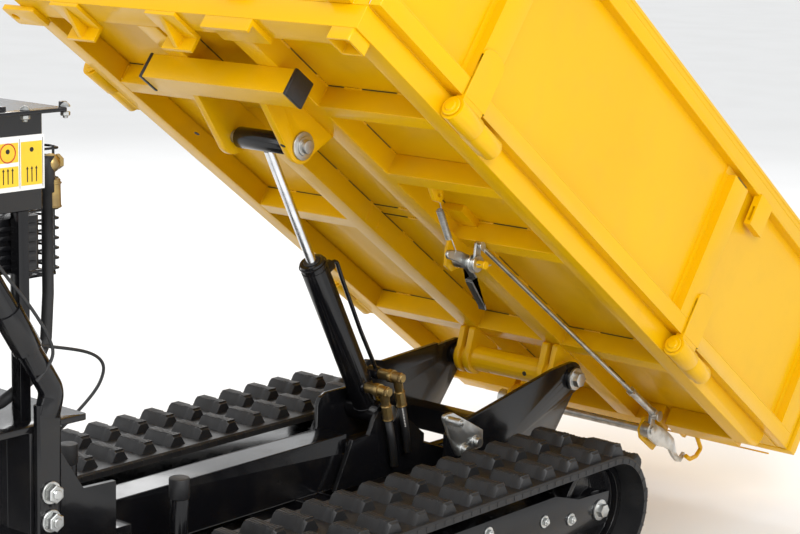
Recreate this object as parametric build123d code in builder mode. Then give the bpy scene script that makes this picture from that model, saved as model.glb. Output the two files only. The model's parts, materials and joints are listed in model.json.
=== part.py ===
"""Tracked power wheelbarrow with a hydraulic tipping bed (millimetres, +Z up, +X to the dump end)."""
import os
from math import cos, pi, radians, sin

from build123d import *

os.makedirs("parts", exist_ok=True)
pieces = {}

# ---------------------------------------------------------------- driving sizes
tilt = 36.0                 # tipping angle of the bed at rest
hinge_x = 525.0             # bed hinge axis
hinge_z = 260.0
gap = 0.5                   # gap between bodies on two sides of a joint
fit = 0.05                  # radial running fit
touch = 0.05                # radial gap of a pin fixed in its own body

# bed, measured along the bed (u), across (y) and square to the floor (w) from the hinge
bed_rear = -1032.0
bed_front = 352.0
frame_front = 295.0
bed_half = 346.0
rail_wide = 35.0
frame_low = 42.0
floor_low = 77.0
floor_thick = 2.5
spar_in = 71.0
spar_out = 111.0
member_wide = 30.0
member_places = (-790.0, -403.0, -25.0)
near_member = -600.0
end_member = 258.0
rear_member = -985.0
wall_top = 408.0
socket_u = -1032.0          # square stake socket under the rear corner
socket_y = -342.0
socket_wide = 41.0
socket_wall = 4.0
socket_low = 24.0

# drop sides and tailgate
side_in = bed_half + gap
side_thick = 20.0
side_low = 78.0
hinge_y = 365.0
hinge_w = 54.0
side_pin_r = 8.0
knuckle_r = 18.0
barrel_r = 16.5
side_hinge_u = (-769.5, -51.5)
barrel_long = 55.0
knuckle_long = 56.0
post_places = (-793.0, -105.0, 327.0)
post_wide = 50.0
gate_u = 356.0
gate_thick = 20.0
gate_half = 372.0
gate_shoulder = 360.0       # the gate's corners above this pass between the drop sides
gate_pin_w = 400.0
gate_pin_r = 5.0

# hydraulic ram
eye_u = -763.6
eye_w = -3.9
ear_in = 62.0
ear_out = 75.0
ear_pin_r = 10.0
ram_long = 515.0
ram_x = 0.4733
ram_z = -0.8809
rod_r = 7.75
ram_r = 21.5
bore_r = 16.0
gland_at = 221.0
piston_at = 262.0
piston_long = 19.0
elbow_along = 461.0
base_half = 33.5

# automatic tailgate latch
lever_u = -408.0
lever_w = 9.0
hook_u = 233.0
hook_w = 16.0
arm_u = -16.0
arm_w = 24.0
latch_pin_r = 6.0
shaft_r = 7.5
hook_y0 = 163.0
hook_y1 = 169.0
bracket_y0 = 147.0
bracket_y1 = 152.0
catch_u = 336.0
catch_w = 69.0
striker_x = 183.0
striker_z = 253.5
striker_r = 7.0

# chassis
beam_half = 25.5
beam_low = 149.0
beam_top = 232.0
beam_rear = -474.0
beam_front = 66.0
cheek_in = base_half + gap
cheek_thick = 8.0
cheek_top = 284.0
member_low = 99.0
cross_places = (-375.0, -20.0, 250.0)
cross_wide = 50.0
end_wall_high = 40.0          # low enough for the hoses to swing over
plate_in = 122.0
plate_out = 130.0
boss_in = 112.0
boss_out = 136.0
boss_r = 20.0
hinge_pin_r = 10.0
pivot_r = 22.0
post_x = -375.0
post_y = 117.0
post_r = 13.0
cap_r = 14.5
cap_low = 247.0
cap_top = 276.9

# tracks
belt_in = 170.0
belt_out = 350.0
wheel_front = 348.0
wheel_rear = -485.0
axle_z = 110.0
wheel_r = 80.0
carcass = 12.0
lug_high = 18.0
lug_pitch = 60.0
lug_count = 37
lug_root = 38.0
lug_tip = 22.0
pitch_r = 88.17
lug_rows = ((280.0, 340.0, 0.0), (186.0, 250.0, 47.3))
far_shift = -21.5
guide_in = 248.0
guide_out = 272.0
guide_high = 14.0
frame_in = 202.0
frame_out = 318.0
frame_plate = 8.0
roller_r = 28.0
roller_places = (-300.0, -60.0, 180.0)
axle_r = 9.0

# power unit and handlebars
deck_z = 400.0
deck_thick = 8.0
cheek_y = 92.0
tank_box = (-760.0, -607.0, -120.0, 70.0, 675.0, 798.0)
lid_over = 14.0
lid_thick = 5.0
wire_x0 = -592.0            # wire guard on the dump side of the tank
wire_x1 = -540.0
wire_y0 = -66.0
wire_y1 = -22.0
wire_low = 584.0
wire_pitch = 13.0
wire_r = 1.7
bar_y = 150.0
bar_r = 16.0
sleeve_r = 19.0
foot_x = -631.0
grip_r = 19.0

# ---------------------------------------------------------------- placing helpers
c_t = cos(radians(tilt))
s_t = sin(radians(tilt))


def bed_point(u, y, w):
    """World point of a place given along, across and square to the bed."""
    return (hinge_x + u * c_t + w * s_t, y, hinge_z - u * s_t + w * c_t)


def bed_top(w):
    """Plane parallel to the bed floor, w above the hinge axis."""
    return Plane(origin=bed_point(0, 0, w), x_dir=(c_t, 0, -s_t), z_dir=(s_t, 0, c_t))


def bed_side(y):
    """Upright plane along the bed at y, with local axes u and w, facing -Y."""
    return Plane(origin=(hinge_x, y, hinge_z), x_dir=(c_t, 0, -s_t), z_dir=(0, -1, 0))


def side(y):
    """Upright plane along X at y, with local axes X and Z, facing -Y."""
    return Plane(origin=(0, y, 0), x_dir=(1, 0, 0), z_dir=(0, -1, 0))


def level(z):
    """Level plane at height z."""
    return Plane(origin=(0, 0, z), x_dir=(1, 0, 0), z_dir=(0, 0, 1))


def box(plane, x0, x1, y0, y1, high, corner=0.0, mode=Mode.ADD):
    """Rectangle on a plane, extruded."""
    with BuildSketch(plane) as face:
        with Locations(((x0 + x1) / 2, (y0 + y1) / 2)):
            if corner > 0:
                RectangleRounded(x1 - x0, y1 - y0, corner)
            else:
                Rectangle(x1 - x0, y1 - y0)
    extrude(to_extrude=face.sketch, amount=high, mode=mode)


def bed_box(u0, u1, y0, y1, w0, w1, corner=0.0, mode=Mode.ADD):
    """Block along the bed."""
    box(bed_top(w0), u0, u1, y0, y1, w1 - w0, corner, mode)


def plain_box(x0, x1, y0, y1, z0, z1, corner=0.0, mode=Mode.ADD):
    """Block along the world axes."""
    box(level(z0), x0, x1, y0, y1, z1 - z0, corner, mode)


def plate(place, y0, y1, points, corner=0.0, mode=Mode.ADD):
    """Upright plate between y0 and y1, outlined on a side plane."""
    with BuildSketch(place(y1)) as face:
        Polygon(*points, align=None)
        if corner > 0:
            fillet(face.vertices(), corner)
    extrude(to_extrude=face.sketch, amount=y1 - y0, mode=mode)


def disc(place, x, z, r, y0, y1, mode=Mode.ADD):
    """Round bar along Y between y0 and y1."""
    with BuildSketch(place(y1)) as face:
        with Locations((x, z)):
            Circle(r)
    extrude(to_extrude=face.sketch, amount=y1 - y0, mode=mode)


def rod(start, end, r, mode=Mode.ADD):
    """Round bar between two points."""
    run = Vector(*end) - Vector(*start)
    with BuildSketch(Plane(origin=start, z_dir=run)) as face:
        Circle(r)
    extrude(to_extrude=face.sketch, amount=run.length, mode=mode)


def bent(points, bend, r):
    """Round bar along a route with rounded corners."""
    with BuildLine() as route:
        FilletPolyline(*points, radius=bend)
    with BuildSketch(Plane(origin=route.line @ 0, z_dir=route.line % 0)) as face:
        Circle(r)
    sweep(sections=face.sketch, path=route.line)


def ram_point(along, y=0.0, off=0.0):
    """Point on the ram, measured from its upper eye; off is square to the ram towards +X."""
    eye = bed_point(eye_u, 0, eye_w)
    return (
        eye[0] + along * ram_x - off * ram_z,
        y,
        eye[2] + along * ram_z + off * ram_x,
    )


sides = (("left", 1.0), ("right", -1.0))


def span(sign, y0, y1):
    """Y range of a mirrored piece, lower value first."""
    return tuple(sorted((sign * y0, sign * y1)))


# ---------------------------------------------------------------- bed
with BuildPart() as bed_floor:
    bed_box(bed_rear, bed_front, -bed_half, bed_half, floor_low, floor_low + floor_thick)
    for name, sign in sides:
        y0, y1 = span(sign, hook_y0 - 5, hook_y1 + 7)
        bed_box(catch_u - 10, bed_front, y0, y1, floor_low - 1, floor_low + 5, mode=Mode.SUBTRACT)
    bed_box(bed_rear, bed_rear + 3, -bed_half + 2, bed_half - 2, floor_low, wall_top)
    bed_box(bed_rear, bed_rear + 20, -bed_half + 2, bed_half - 2, wall_top - 30, wall_top)
    for place in (-300.0, -100.0, 100.0, 300.0):
        bed_box(bed_rear - 18, bed_rear, place - 20, place + 20, floor_low, wall_top - 6)
pieces["bed_floor"] = bed_floor

rail_outline = (
    (bed_rear, frame_low),
    (frame_front - 32, frame_low),
    (frame_front - 14, frame_low + 4),
    (frame_front - 4, frame_low + 13),
    (frame_front, frame_low + 26),
    (frame_front, floor_low),
    (bed_rear, floor_low),
)
with BuildPart() as bed_perimeter:
    for name, sign in sides:
        y0, y1 = span(sign, bed_half - rail_wide, bed_half)
        plate(bed_side, y0, y1, rail_outline)
    rail_in = bed_half - rail_wide
    bed_box(bed_rear, rear_member, -rail_in, rail_in, frame_low, floor_low)
    bed_box(end_member, frame_front, -rail_in, rail_in, frame_low, floor_low)
    for name, sign in sides:
        y0, y1 = span(sign, hook_y0 - 3, hook_y1 + 3)
        bed_box(end_member - 1, frame_front + 1, y0, y1, frame_low - 1, floor_low + 1, 0, Mode.SUBTRACT)
pieces["bed_perimeter"] = bed_perimeter

with BuildPart() as bed_spars:
    for name, sign in sides:
        y0, y1 = span(sign, spar_in, spar_out)
        bed_box(rear_member, end_member, y0, y1, frame_low, floor_low)
        y0, y1 = span(sign, spar_out, bed_half - rail_wide)
        for place in member_places:
            bed_box(place - member_wide / 2, place + member_wide / 2, y0, y1, frame_low, floor_low)
    bed_box(
        near_member - member_wide / 2,
        near_member + member_wide / 2,
        -(bed_half - rail_wide),
        -spar_out,
        frame_low,
        floor_low,
    )
    for place in (member_places[0], member_places[2]):
        bed_box(place - member_wide / 2, place + member_wide / 2, -spar_in, spar_in, frame_low, floor_low)
pieces["bed_spars"] = bed_spars

tube_u0 = -908.0
tube_u1 = -868.0
tube_half = 143.0
with BuildPart() as bed_cross_tube:
    bed_box(tube_u0, tube_u1, -tube_half, tube_half, 2, frame_low)
    ear = (
        (tube_u1, 6),
        (tube_u1, frame_low),
        (eye_u + 50, frame_low),
        (eye_u + 26, eye_w - 2),
        (eye_u - 10, eye_w - 25),
    )
    for name, sign in sides:
        y0, y1 = span(sign, ear_in, ear_out)
        plate(bed_side, y0, y1, ear)
        disc(bed_side, eye_u, eye_w, 27, y0, y1)
    disc(bed_side, eye_u, eye_w, ear_pin_r + touch, -ear_out - 1, ear_out + 1, Mode.SUBTRACT)
pieces["bed_cross_tube"] = bed_cross_tube

with BuildPart() as cross_tube_caps:
    for name, sign in sides:
        y0, y1 = span(sign, tube_half, tube_half + 7)
        bed_box(tube_u0 - 1, tube_u1 + 1, y0, y1, 1, frame_low + 1, 3)
pieces["cross_tube_caps"] = cross_tube_caps

lug_outline = ((-44, frame_low), (44, frame_low), (25, -8), (-25, -8))
with BuildPart() as bed_pivot:
    disc(bed_side, 0, 0, pivot_r, -(boss_in - gap), boss_in - gap)
    for y0, y1 in ((74.0, 86.0), (-86.0, -74.0), (96.0, 106.0), (-106.0, -96.0)):
        plate(bed_side, y0, y1, lug_outline, 6)
        disc(bed_side, 0, 0, pivot_r + 7, y0, y1)
    disc(bed_side, 0, 0, hinge_pin_r + fit, -boss_in, boss_in, Mode.SUBTRACT)
    rod(bed_point(0, 40, -pivot_r - 3), bed_point(0, 40, -pivot_r + 8), 3, Mode.SUBTRACT)
pieces["bed_pivot"] = bed_pivot

with BuildPart() as side_hinges:
    for name, sign in sides:
        for place in side_hinge_u:
            hy = sign * hinge_y
            y0, y1 = span(sign, bed_half, hinge_y - 4)
            rod(bed_point(place, hy, hinge_w), bed_point(place + barrel_long, hy, hinge_w), barrel_r)
            bed_box(place, place + barrel_long, y0, y1, hinge_w - 12, hinge_w + 6)
            rod(
                bed_point(place - knuckle_long - gap - 7, hy, hinge_w),
                bed_point(place, hy, hinge_w),
                side_pin_r,
            )
            rod(
                bed_point(place - knuckle_long - gap - 4.5, hy, hinge_w),
                bed_point(place - knuckle_long - 2 * gap, hy, hinge_w),
                side_pin_r + 6,
            )
pieces["side_hinges"] = side_hinges

lever_bracket = (
    (lever_u - 32, frame_low),
    (lever_u + 34, frame_low),
    (lever_u + 24, lever_w),
    (lever_u + 8, lever_w - 17),
    (lever_u - 10, lever_w - 17),
    (lever_u - 24, lever_w + 6),
)
hook_bracket = (
    (hook_u - 12, hook_w + 18),
    (hook_u + 6, hook_w + 32),
    (end_member, hook_w + 42),
    (end_member, frame_low),
    (frame_front, frame_low),
    (frame_front + 1, hook_w + 4),
    (hook_u + 54, hook_w - 18),
    (hook_u + 2, hook_w - 18),
    (hook_u - 12, hook_w - 8),
)
with BuildPart() as latch_brackets:
    plate(bed_side, -124, -119, lever_bracket)
    bed_box(lever_u - 60, lever_u - 10, -150, -spar_out, floor_low - 12, floor_low, mode=Mode.ADD)
    disc(bed_side, lever_u, lever_w, latch_pin_r, -186, -119)
    lug = (
        (near_member + 15, frame_low + 2),
        (near_member + 15, floor_low - 5),
        (-562, 58),
        (-549, 48),
        (-549, 38),
        (-562, 34),
    )
    plate(bed_side, -176, -168, lug)
    disc(bed_side, -560, 45, 2.6, -177, -167, Mode.SUBTRACT)
    for name, sign in sides:
        y0, y1 = span(sign, bracket_y0, bracket_y1)
        plate(bed_side, y0, y1, hook_bracket)
        disc(bed_side, hook_u, hook_w, shaft_r + fit, y0 - 1, y1 + 1, Mode.SUBTRACT)
pieces["latch_brackets"] = latch_brackets

with BuildPart() as bed_hooks:
    for place in (20.0, 225.0):
        bed_box(bed_rear, bed_rear + 62, place - 30, place + 30, frame_low - 6, frame_low)
        bed_box(bed_rear + 56, bed_rear + 62, place - 30, place + 30, frame_low - 27, frame_low)
        web = (
            (bed_rear + 4, frame_low - 6),
            (bed_rear + 56, frame_low - 6),
            (bed_rear + 56, frame_low - 25),
        )
        plate(bed_side, place - 4, place + 4, web)
    bed_box(bed_rear, bed_rear + 50, -160, -70, frame_low - 8, frame_low)
    bed_box(bed_rear, bed_rear + 6, -160, -70, frame_low - 19, frame_low)
    bed_box(socket_u, socket_u + socket_wide, socket_y, socket_y + socket_wide, socket_low, frame_low, 4)
    bed_box(
        socket_u + socket_wall,
        socket_u + socket_wide - socket_wall,
        socket_y + socket_wall,
        socket_y + socket_wide - socket_wall,
        socket_low - 1,
        frame_low - 3,
        2,
        Mode.SUBTRACT,
    )
    bed_box(-1012, -970, 313, 385, frame_low - 8, frame_low, 5)
    rod(bed_point(-991, 371, frame_low - 9), bed_point(-991, 371, frame_low + 1), 7, Mode.SUBTRACT)
pieces["bed_hooks"] = bed_hooks

with BuildPart() as bed_pins:
    disc(bed_side, eye_u, eye_w, ear_pin_r, -90, 90)
    for name, sign in sides:
        y0, y1 = span(sign, ear_out, ear_out + 4)
        disc(bed_side, eye_u, eye_w, 21, y0, y1)
        y0, y1 = span(sign, ear_out + 4, ear_out + 7)
        disc(bed_side, eye_u, eye_w, 14, y0, y1)
pieces["bed_pins"] = bed_pins

# ---------------------------------------------------------------- drop sides
for name, sign in sides:
    with BuildPart() as drop_side:
        y_in = side_in
        y_out = side_in + side_thick
        y0, y1 = span(sign, y_in, y_out)
        bed_box(bed_rear, bed_front, y0, y1, side_low, side_low + 28, 2)
        bed_box(bed_rear, bed_front, y0, y1, wall_top - 38, wall_top, 2)
        y0, y1 = span(sign, y_in, y_in + 2.5)
        bed_box(bed_rear, bed_front, y0, y1, side_low + 10, wall_top - 10)
        for place in post_places:
            half = post_wide / 2
            y0, y1 = span(sign, y_in, y_out)
            bed_box(place - half, place + half, y0, y1, side_low + 5, wall_top - 50)
            y0, y1 = span(sign, y_in, y_in + 5.5)
            bed_box(max(place - half - 10, bed_rear), min(place + half + 10, bed_front), y0, y1,
                    side_low + 20, wall_top - 30)
        for place in side_hinge_u:
            hy = sign * hinge_y
            k0 = place - gap - knuckle_long
            rod(bed_point(k0, hy, hinge_w), bed_point(place - gap, hy, hinge_w), knuckle_r)
            y0, y1 = span(sign, y_out - 1, y_out + 4)
            bed_box(k0 + 7, place + 4, y0, y1, side_low - 1, side_low + 69, 0)
            y0, y1 = span(sign, hinge_y - 8, y_out + 4)
            bed_box(k0 + 7, place - gap, y0, y1, hinge_w, side_low + 2)
            rod(
                bed_point(k0 - 5, hy, hinge_w),
                bed_point(place + 5, hy, hinge_w),
                side_pin_r + fit,
                Mode.SUBTRACT,
            )
        y0, y1 = span(sign, y_out - 9, y_out + 4)
        bed_box(-42, 4, y0, y1, wall_top - 92, wall_top - 34)
        y0, y1 = span(sign, y_out - 5, y_out)
        bed_box(-50, 12, y0, y1, wall_top - 84, wall_top - 58, 0, Mode.SUBTRACT)
        y0, y1 = span(sign, y_in + 3, y_out - 3)
        bed_box(bed_front - 90, bed_front + 5, y0, y1, side_low + 4, side_low + 24, 0, Mode.SUBTRACT)
        y_hole = sign * (side_in - 14)
        rod(
            bed_point(gate_u - 16, sign * (side_in + 4), gate_pin_w - 14),
            bed_point(gate_u - 16, y_hole, gate_pin_w - 14),
            gate_pin_r,
        )
    pieces[f"drop_side_{name}"] = drop_side

with BuildPart() as tailgate:
    u1 = gate_u + gate_thick
    bed_box(gate_u, gate_u + 3, -gate_half, gate_half, floor_low, wall_top)
    bed_box(gate_u, u1, -gate_half, gate_half, floor_low, floor_low + 28, 2)
    bed_box(gate_u, u1, -gate_half, gate_half, wall_top - 30, wall_top, 2)
    for place in (-351.0, -117.0, 117.0, 351.0):
        bed_box(gate_u, u1, place - 21, place + 21, floor_low + 5, wall_top - 5)
    for name, sign in sides:
        y0, y1 = span(sign, side_in - 2, gate_half + 1)
        bed_box(gate_u - 1, u1 + 1, y0, y1, gate_shoulder, wall_top + 1, 0, Mode.SUBTRACT)
        y0, y1 = span(sign, side_in - 11, side_in - 4)
        ear_plate = (
            (gate_u - 28, gate_pin_w - 26),
            (gate_u - 28, gate_pin_w - 2),
            (gate_u + 2, gate_pin_w - 2),
            (gate_u + 2, gate_pin_w - 40),
        )
        plate(bed_side, y0, y1, ear_plate, 4)
        disc(bed_side, gate_u - 16, gate_pin_w - 14, gate_pin_r + 0.3, y0 - 1, y1 + 1, Mode.SUBTRACT)
        y0, y1 = span(sign, 150, 156)
        catch = (
            (gate_u, floor_low),
            (gate_u + 16, floor_low),
            (gate_u + 10, catch_w - 9),
            (catch_u, catch_w - 9),
            (catch_u - 9, catch_w - 4),
            (catch_u - 9, catch_w + 4),
            (catch_u, floor_low - 0.7),
            (gate_u - 1, floor_low - 0.7),
        )
        plate(bed_side, y0, y1, catch)
        y0, y1 = span(sign, 150, 171)
        disc(bed_side, catch_u, catch_w, 4.5, y0, y1)
        route = [
            bed_point(gate_u + 10, sign * 176, floor_low + 4),
            bed_point(gate_u + 12, sign * 176, floor_low - 8),
            bed_point(gate_u + 41, sign * 176, floor_low - 20),
            bed_point(gate_u + 35, sign * 176, floor_low - 39),
            bed_point(gate_u + 19, sign * 176, floor_low - 52),
            bed_point(gate_u + 3, sign * 176, floor_low - 53),
        ]
        bent(route, 5.0, 4.0)
pieces["tailgate"] = tailgate

# ---------------------------------------------------------------- automatic latch
with BuildPart() as latch_lever:
    disc(bed_side, lever_u, lever_w, 12, -172, -129)
    arm = (
        (lever_u - 9, lever_w + 4),
        (lever_u + arm_u - 7, lever_w + arm_w + 3),
        (lever_u + arm_u + 2, lever_w + arm_w + 6),
        (lever_u + arm_u + 8, lever_w + arm_w),
        (lever_u + 10, lever_w + 2),
    )
    plate(bed_side, -172, -167, arm)
    spring_arm = (
        (lever_u, lever_w - 11),
        (lever_u - 52, lever_w - 20),
        (lever_u - 60, lever_w - 14),
        (lever_u - 52, lever_w - 6),
        (lever_u, lever_w + 11),
    )
    plate(bed_side, -157, -151, spring_arm)
    disc(bed_side, lever_u - 52, lever_w - 13, 2.6, -158, -150, Mode.SUBTRACT)
    tail = (
        (lever_u - 6, lever_w - 4),
        (lever_u + 8, lever_w - 10),
        (lever_u + 34, lever_w - 17),
        (lever_u + 78, lever_w - 31),
        (lever_u + 82, lever_w - 38),
        (lever_u + 78, lever_w - 46),
        (lever_u + 68, lever_w - 44),
        (lever_u + 24, lever_w - 30),
        (lever_u - 6, lever_w - 12),
    )
    plate(bed_side, -161, -146, tail)
    disc(bed_side, lever_u, lever_w, latch_pin_r + fit, -180, -120, Mode.SUBTRACT)
pieces["latch_lever"] = latch_lever

with BuildPart() as latch_rod:
    start = (lever_u + arm_u, lever_w + arm_w)
    end = (hook_u + arm_u, hook_w + arm_w)
    rod(bed_point(start[0], -176.5, start[1]), bed_point(end[0], -176.5, end[1]), 3.5)
    disc(bed_side, start[0], start[1], 3.5, -180, -172.5)
    sleeve_start = (end[0] - 104, end[1] - 104 * (end[1] - start[1]) / (end[0] - start[0]))
    sleeve_end = (end[0] - 14, end[1] - 14 * (end[1] - start[1]) / (end[0] - start[0]))
    rod(bed_point(sleeve_start[0], -176.5, sleeve_start[1]), bed_point(sleeve_end[0], -176.5, sleeve_end[1]), 6.5)
    disc(bed_side, end[0], end[1], 7.5, -183, -169.8)
pieces["latch_rod"] = latch_rod

blade = (
    (hook_u + 2, hook_w + 14),
    (hook_u + 42, hook_w + 21),
    (hook_u + 62, hook_w + 21),
    (hook_u + 78, hook_w + 20),
    (hook_u + 87, hook_w + 14),
    (hook_u + 100, hook_w + 4),
    (hook_u + 113, hook_w + 1),
    (hook_u + 124, hook_w + 4),
    (hook_u + 128, hook_w + 15),
    (hook_u + 134, hook_w + 13),
    (hook_u + 129, hook_w - 4),
    (hook_u + 118, hook_w - 9),
    (hook_u + 97, hook_w - 7),
    (hook_u + 80, hook_w - 2),
    (hook_u + 58, hook_w - 6),
    (hook_u + 40, hook_w - 13),
    (hook_u + 6, hook_w - 14),
)
hook_arm = (
    (hook_u - 9, hook_w + 4),
    (hook_u + arm_u - 7, hook_w + arm_w + 3),
    (hook_u + arm_u + 2, hook_w + arm_w + 7),
    (hook_u + arm_u + 8, hook_w + arm_w),
    (hook_u + 10, hook_w + 4),
)
with BuildPart() as latch_hooks:
    disc(bed_side, hook_u, hook_w, shaft_r, -172, 172)
    for name, sign in sides:
        y0, y1 = span(sign, hook_y0, hook_y1)
        plate(bed_side, y0, y1, blade)
        y0, y1 = span(sign, bracket_y1 + gap, hook_y1)
        disc(bed_side, hook_u, hook_w, 14, y0, y1)
    plate(bed_side, -hook_y1, -hook_y0, hook_arm)
pieces["latch_hooks"] = latch_hooks

spring_lug = (-560.0, 45.0)
spring_foot = (lever_u - 52, lever_w - 13)
spring_y = -160.5
with BuildPart() as latch_spring:
    du = spring_foot[0] - spring_lug[0]
    dw = spring_foot[1] - spring_lug[1]
    long = (du * du + dw * dw) ** 0.5
    near = 16.0 / long
    far = 1.0 - 18.0 / long
    y_a = -163.5
    y_b = -160.8
    rod(
        bed_point(spring_lug[0] + du * near, y_a, spring_lug[1] + dw * near),
        bed_point(spring_lug[0] + du * far, y_b, spring_lug[1] + dw * far),
        6.5,
    )
    rod(
        bed_point(spring_lug[0], y_a, spring_lug[1]),
        bed_point(spring_lug[0] + du * (near + 0.05), y_a, spring_lug[1] + dw * (near + 0.05)),
        1.4,
    )
    rod(
        bed_point(spring_lug[0] + du * (far - 0.05), y_b, spring_lug[1] + dw * (far - 0.05)),
        bed_point(spring_foot[0], y_b, spring_foot[1]),
        1.4,
    )
    disc(bed_side, spring_lug[0], spring_lug[1], 2.0, -177, -161)
pieces["latch_spring"] = latch_spring

# ---------------------------------------------------------------- ram
with BuildPart() as ram_eye:
    disc(bed_side, eye_u, eye_w, 16, -(ear_in - 10), ear_in - 10)
    disc(bed_side, eye_u, eye_w, ear_pin_r + fit, -ear_in, ear_in, Mode.SUBTRACT)
pieces["ram_eye"] = ram_eye

with BuildPart() as ram_rod:
    rod(ram_point(16.05), ram_point(piston_at), rod_r)
    rod(ram_point(piston_at), ram_point(piston_at + piston_long), bore_r - fit)
pieces["ram_rod"] = ram_rod

with BuildPart() as ram_barrel:
    rod(ram_point(gland_at + 14), ram_point(ram_long - 12), ram_r)
    rod(ram_point(gland_at), ram_point(gland_at + 14), ram_r - 1.5)
    disc(side, ram_point(ram_long)[0], ram_point(ram_long)[2], 20, -base_half, base_half)
    rod(ram_point(gland_at + 26, -4, 10), ram_point(gland_at + 26, -4, ram_r + 9), 9)
    for off in (-5.0, 31.0):
        rod(ram_point(elbow_along, 0, off * 0.3), ram_point(elbow_along, 0, off), 10)
        place = ram_point(elbow_along, 0, off)
        disc(side, place[0], place[2], 10, -21.9, 0)
    rod(ram_point(gland_at + 24), ram_point(ram_long - 26), bore_r, Mode.SUBTRACT)
    rod(ram_point(gland_at - 1), ram_point(gland_at + 25), rod_r + fit, Mode.SUBTRACT)
pieces["ram_barrel"] = ram_barrel

with BuildPart() as ram_oil_line:
    route = [
        ram_point(gland_at + 26, -4, ram_r + 9),
        ram_point(gland_at + 26, -4, ram_r + 22),
        ram_point(gland_at + 60, -6, ram_r + 18),
        ram_point(gland_at + 160, -8, ram_r + 14),
        ram_point(elbow_along - 11, -14, ram_r + 11),
    ]
    bent(route, 8.0, 3.4)
pieces["ram_oil_line"] = ram_oil_line

elbow_low = ram_point(elbow_along, -56, -5)
elbow_high = ram_point(elbow_along, -56, 31)
with BuildPart() as ram_elbows:
    for place in (elbow_low, elbow_high):
        disc(side, place[0], place[2], 8.5, -64, -22)
        disc(side, place[0], place[2], 10.5, -50, -40)
        rod((place[0], -56, place[2] + 4), (place[0] + 6, -56, place[2] - 18), 7.5)
        rod((place[0] + 6, -56, place[2] - 18), (place[0] + 14, -56, place[2] - 48), 7)
pieces["ram_elbows"] = ram_elbows

with BuildPart() as ram_hoses:
    for place in (elbow_low, elbow_high):
        route = [
            (place[0] + 14.1, -56, place[2] - 48.3),
            (place[0] + 24, -56, place[2] - 85.5),
            (place[0] + 31, -56.5, place[2] - 128),
        ]
        bent(route, 40.0, 6.5)
pieces["ram_hoses"] = ram_hoses

# ---------------------------------------------------------------- chassis
cheek_x0 = beam_front
cheek_x1 = 240.0
cheek_outline = (
    (cheek_x0 - 40, beam_low),
    (cheek_x0, beam_top),
    (cheek_x0, cheek_top - 18),
    (cheek_x0 + 6, cheek_top - 6),
    (cheek_x0 + 20, cheek_top),
    (cheek_x1 - 60, cheek_top),
    (cheek_x1, beam_top - 30),
    (cheek_x1, beam_low),
)
near_cheek = (
    (cheek_x0 - 40, beam_low),
    (cheek_x0, beam_top - 7),
    (cheek_x0 + 38, beam_top - 7),
    (cheek_x0 + 50, beam_top + 18),
    (cheek_x0 + 58, cheek_top - 26),
    (cheek_x0 + 102, cheek_top - 26),
    (cheek_x0 + 119, beam_top + 12),
    (cheek_x1, beam_top - 30),
    (cheek_x1, beam_low),
)
plate_outline = (
    (190.0, beam_low),
    (190.0, 226.0),
    (200.0, 234.0),
    (470.0, hinge_z + 24),
    (hinge_x, hinge_z + boss_r + 8),
    (hinge_x + boss_r + 8, hinge_z),
    (480.0, 172.0),
    (440.0, beam_low),
)
far_crest = ((200.0, 234.0), (270.0, 268.0), (284.0, 289.0), (326.0, 280.0), (470.0, 288.0), (470.0, 240.0))
with BuildPart() as chassis_frame:
    plain_box(beam_rear, beam_front + 2, -beam_half, beam_half, beam_low, beam_top)
    plain_box(beam_front - 10, cheek_x1, -cheek_in - 2, cheek_in + 2, beam_low, beam_low + 52)
    for name, sign in sides:
        y0, y1 = span(sign, cheek_in, cheek_in + cheek_thick)
        plate(side, y0, y1, cheek_outline if sign > 0 else near_cheek)
        y0, y1 = span(sign, plate_in, plate_out)
        plate(side, y0, y1, plate_outline)
        disc(side, hinge_x, hinge_z, boss_r + 8, y0, y1)
        y0, y1 = span(sign, boss_in, boss_out)
        disc(side, hinge_x, hinge_z, boss_r, y0, y1)
        with BuildSketch(level(beam_low)) as foot:
            with Locations((post_x, sign * post_y)):
                Circle(post_r)
        extrude(to_extrude=foot.sketch, amount=cap_low - beam_low)
    plate(side, plate_in, plate_out, far_crest)
    for place in cross_places:
        plain_box(place - cross_wide / 2, place + cross_wide / 2, -frame_in, frame_in, member_low, beam_low)
    plain_box(cheek_x1 - 8, cheek_x1, -plate_in, plate_in, beam_low, beam_low + end_wall_high)
    plain_box(400, 440, -plate_in, plate_in, beam_low, beam_low + 40)
    plain_box(beam_rear, beam_rear + 34, -92, 92, beam_low, beam_top - 12)
    tow = ((270.0, beam_low), (390.0, beam_low), (410.0, 120.0), (396.0, 96.0), (360.0, 96.0), (300.0, 120.0))
    plate(side, -6, 6, tow)
    plain_box(262, 440, -8, 8, beam_low, beam_low + 12)
    disc(side, 384, 118, 10, -7, 7, Mode.SUBTRACT)
    disc(side, hinge_x, hinge_z, hinge_pin_r + touch, -boss_out - 1, boss_out + 1, Mode.SUBTRACT)
pieces["chassis_frame"] = chassis_frame

with BuildPart() as rest_caps:
    for name, sign in sides:
        with BuildSketch(level(cap_low)) as cap:
            with Locations((post_x, sign * post_y)):
                Circle(cap_r)
        extrude(to_extrude=cap.sketch, amount=cap_top - cap_low)
pieces["rest_caps"] = rest_caps

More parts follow.
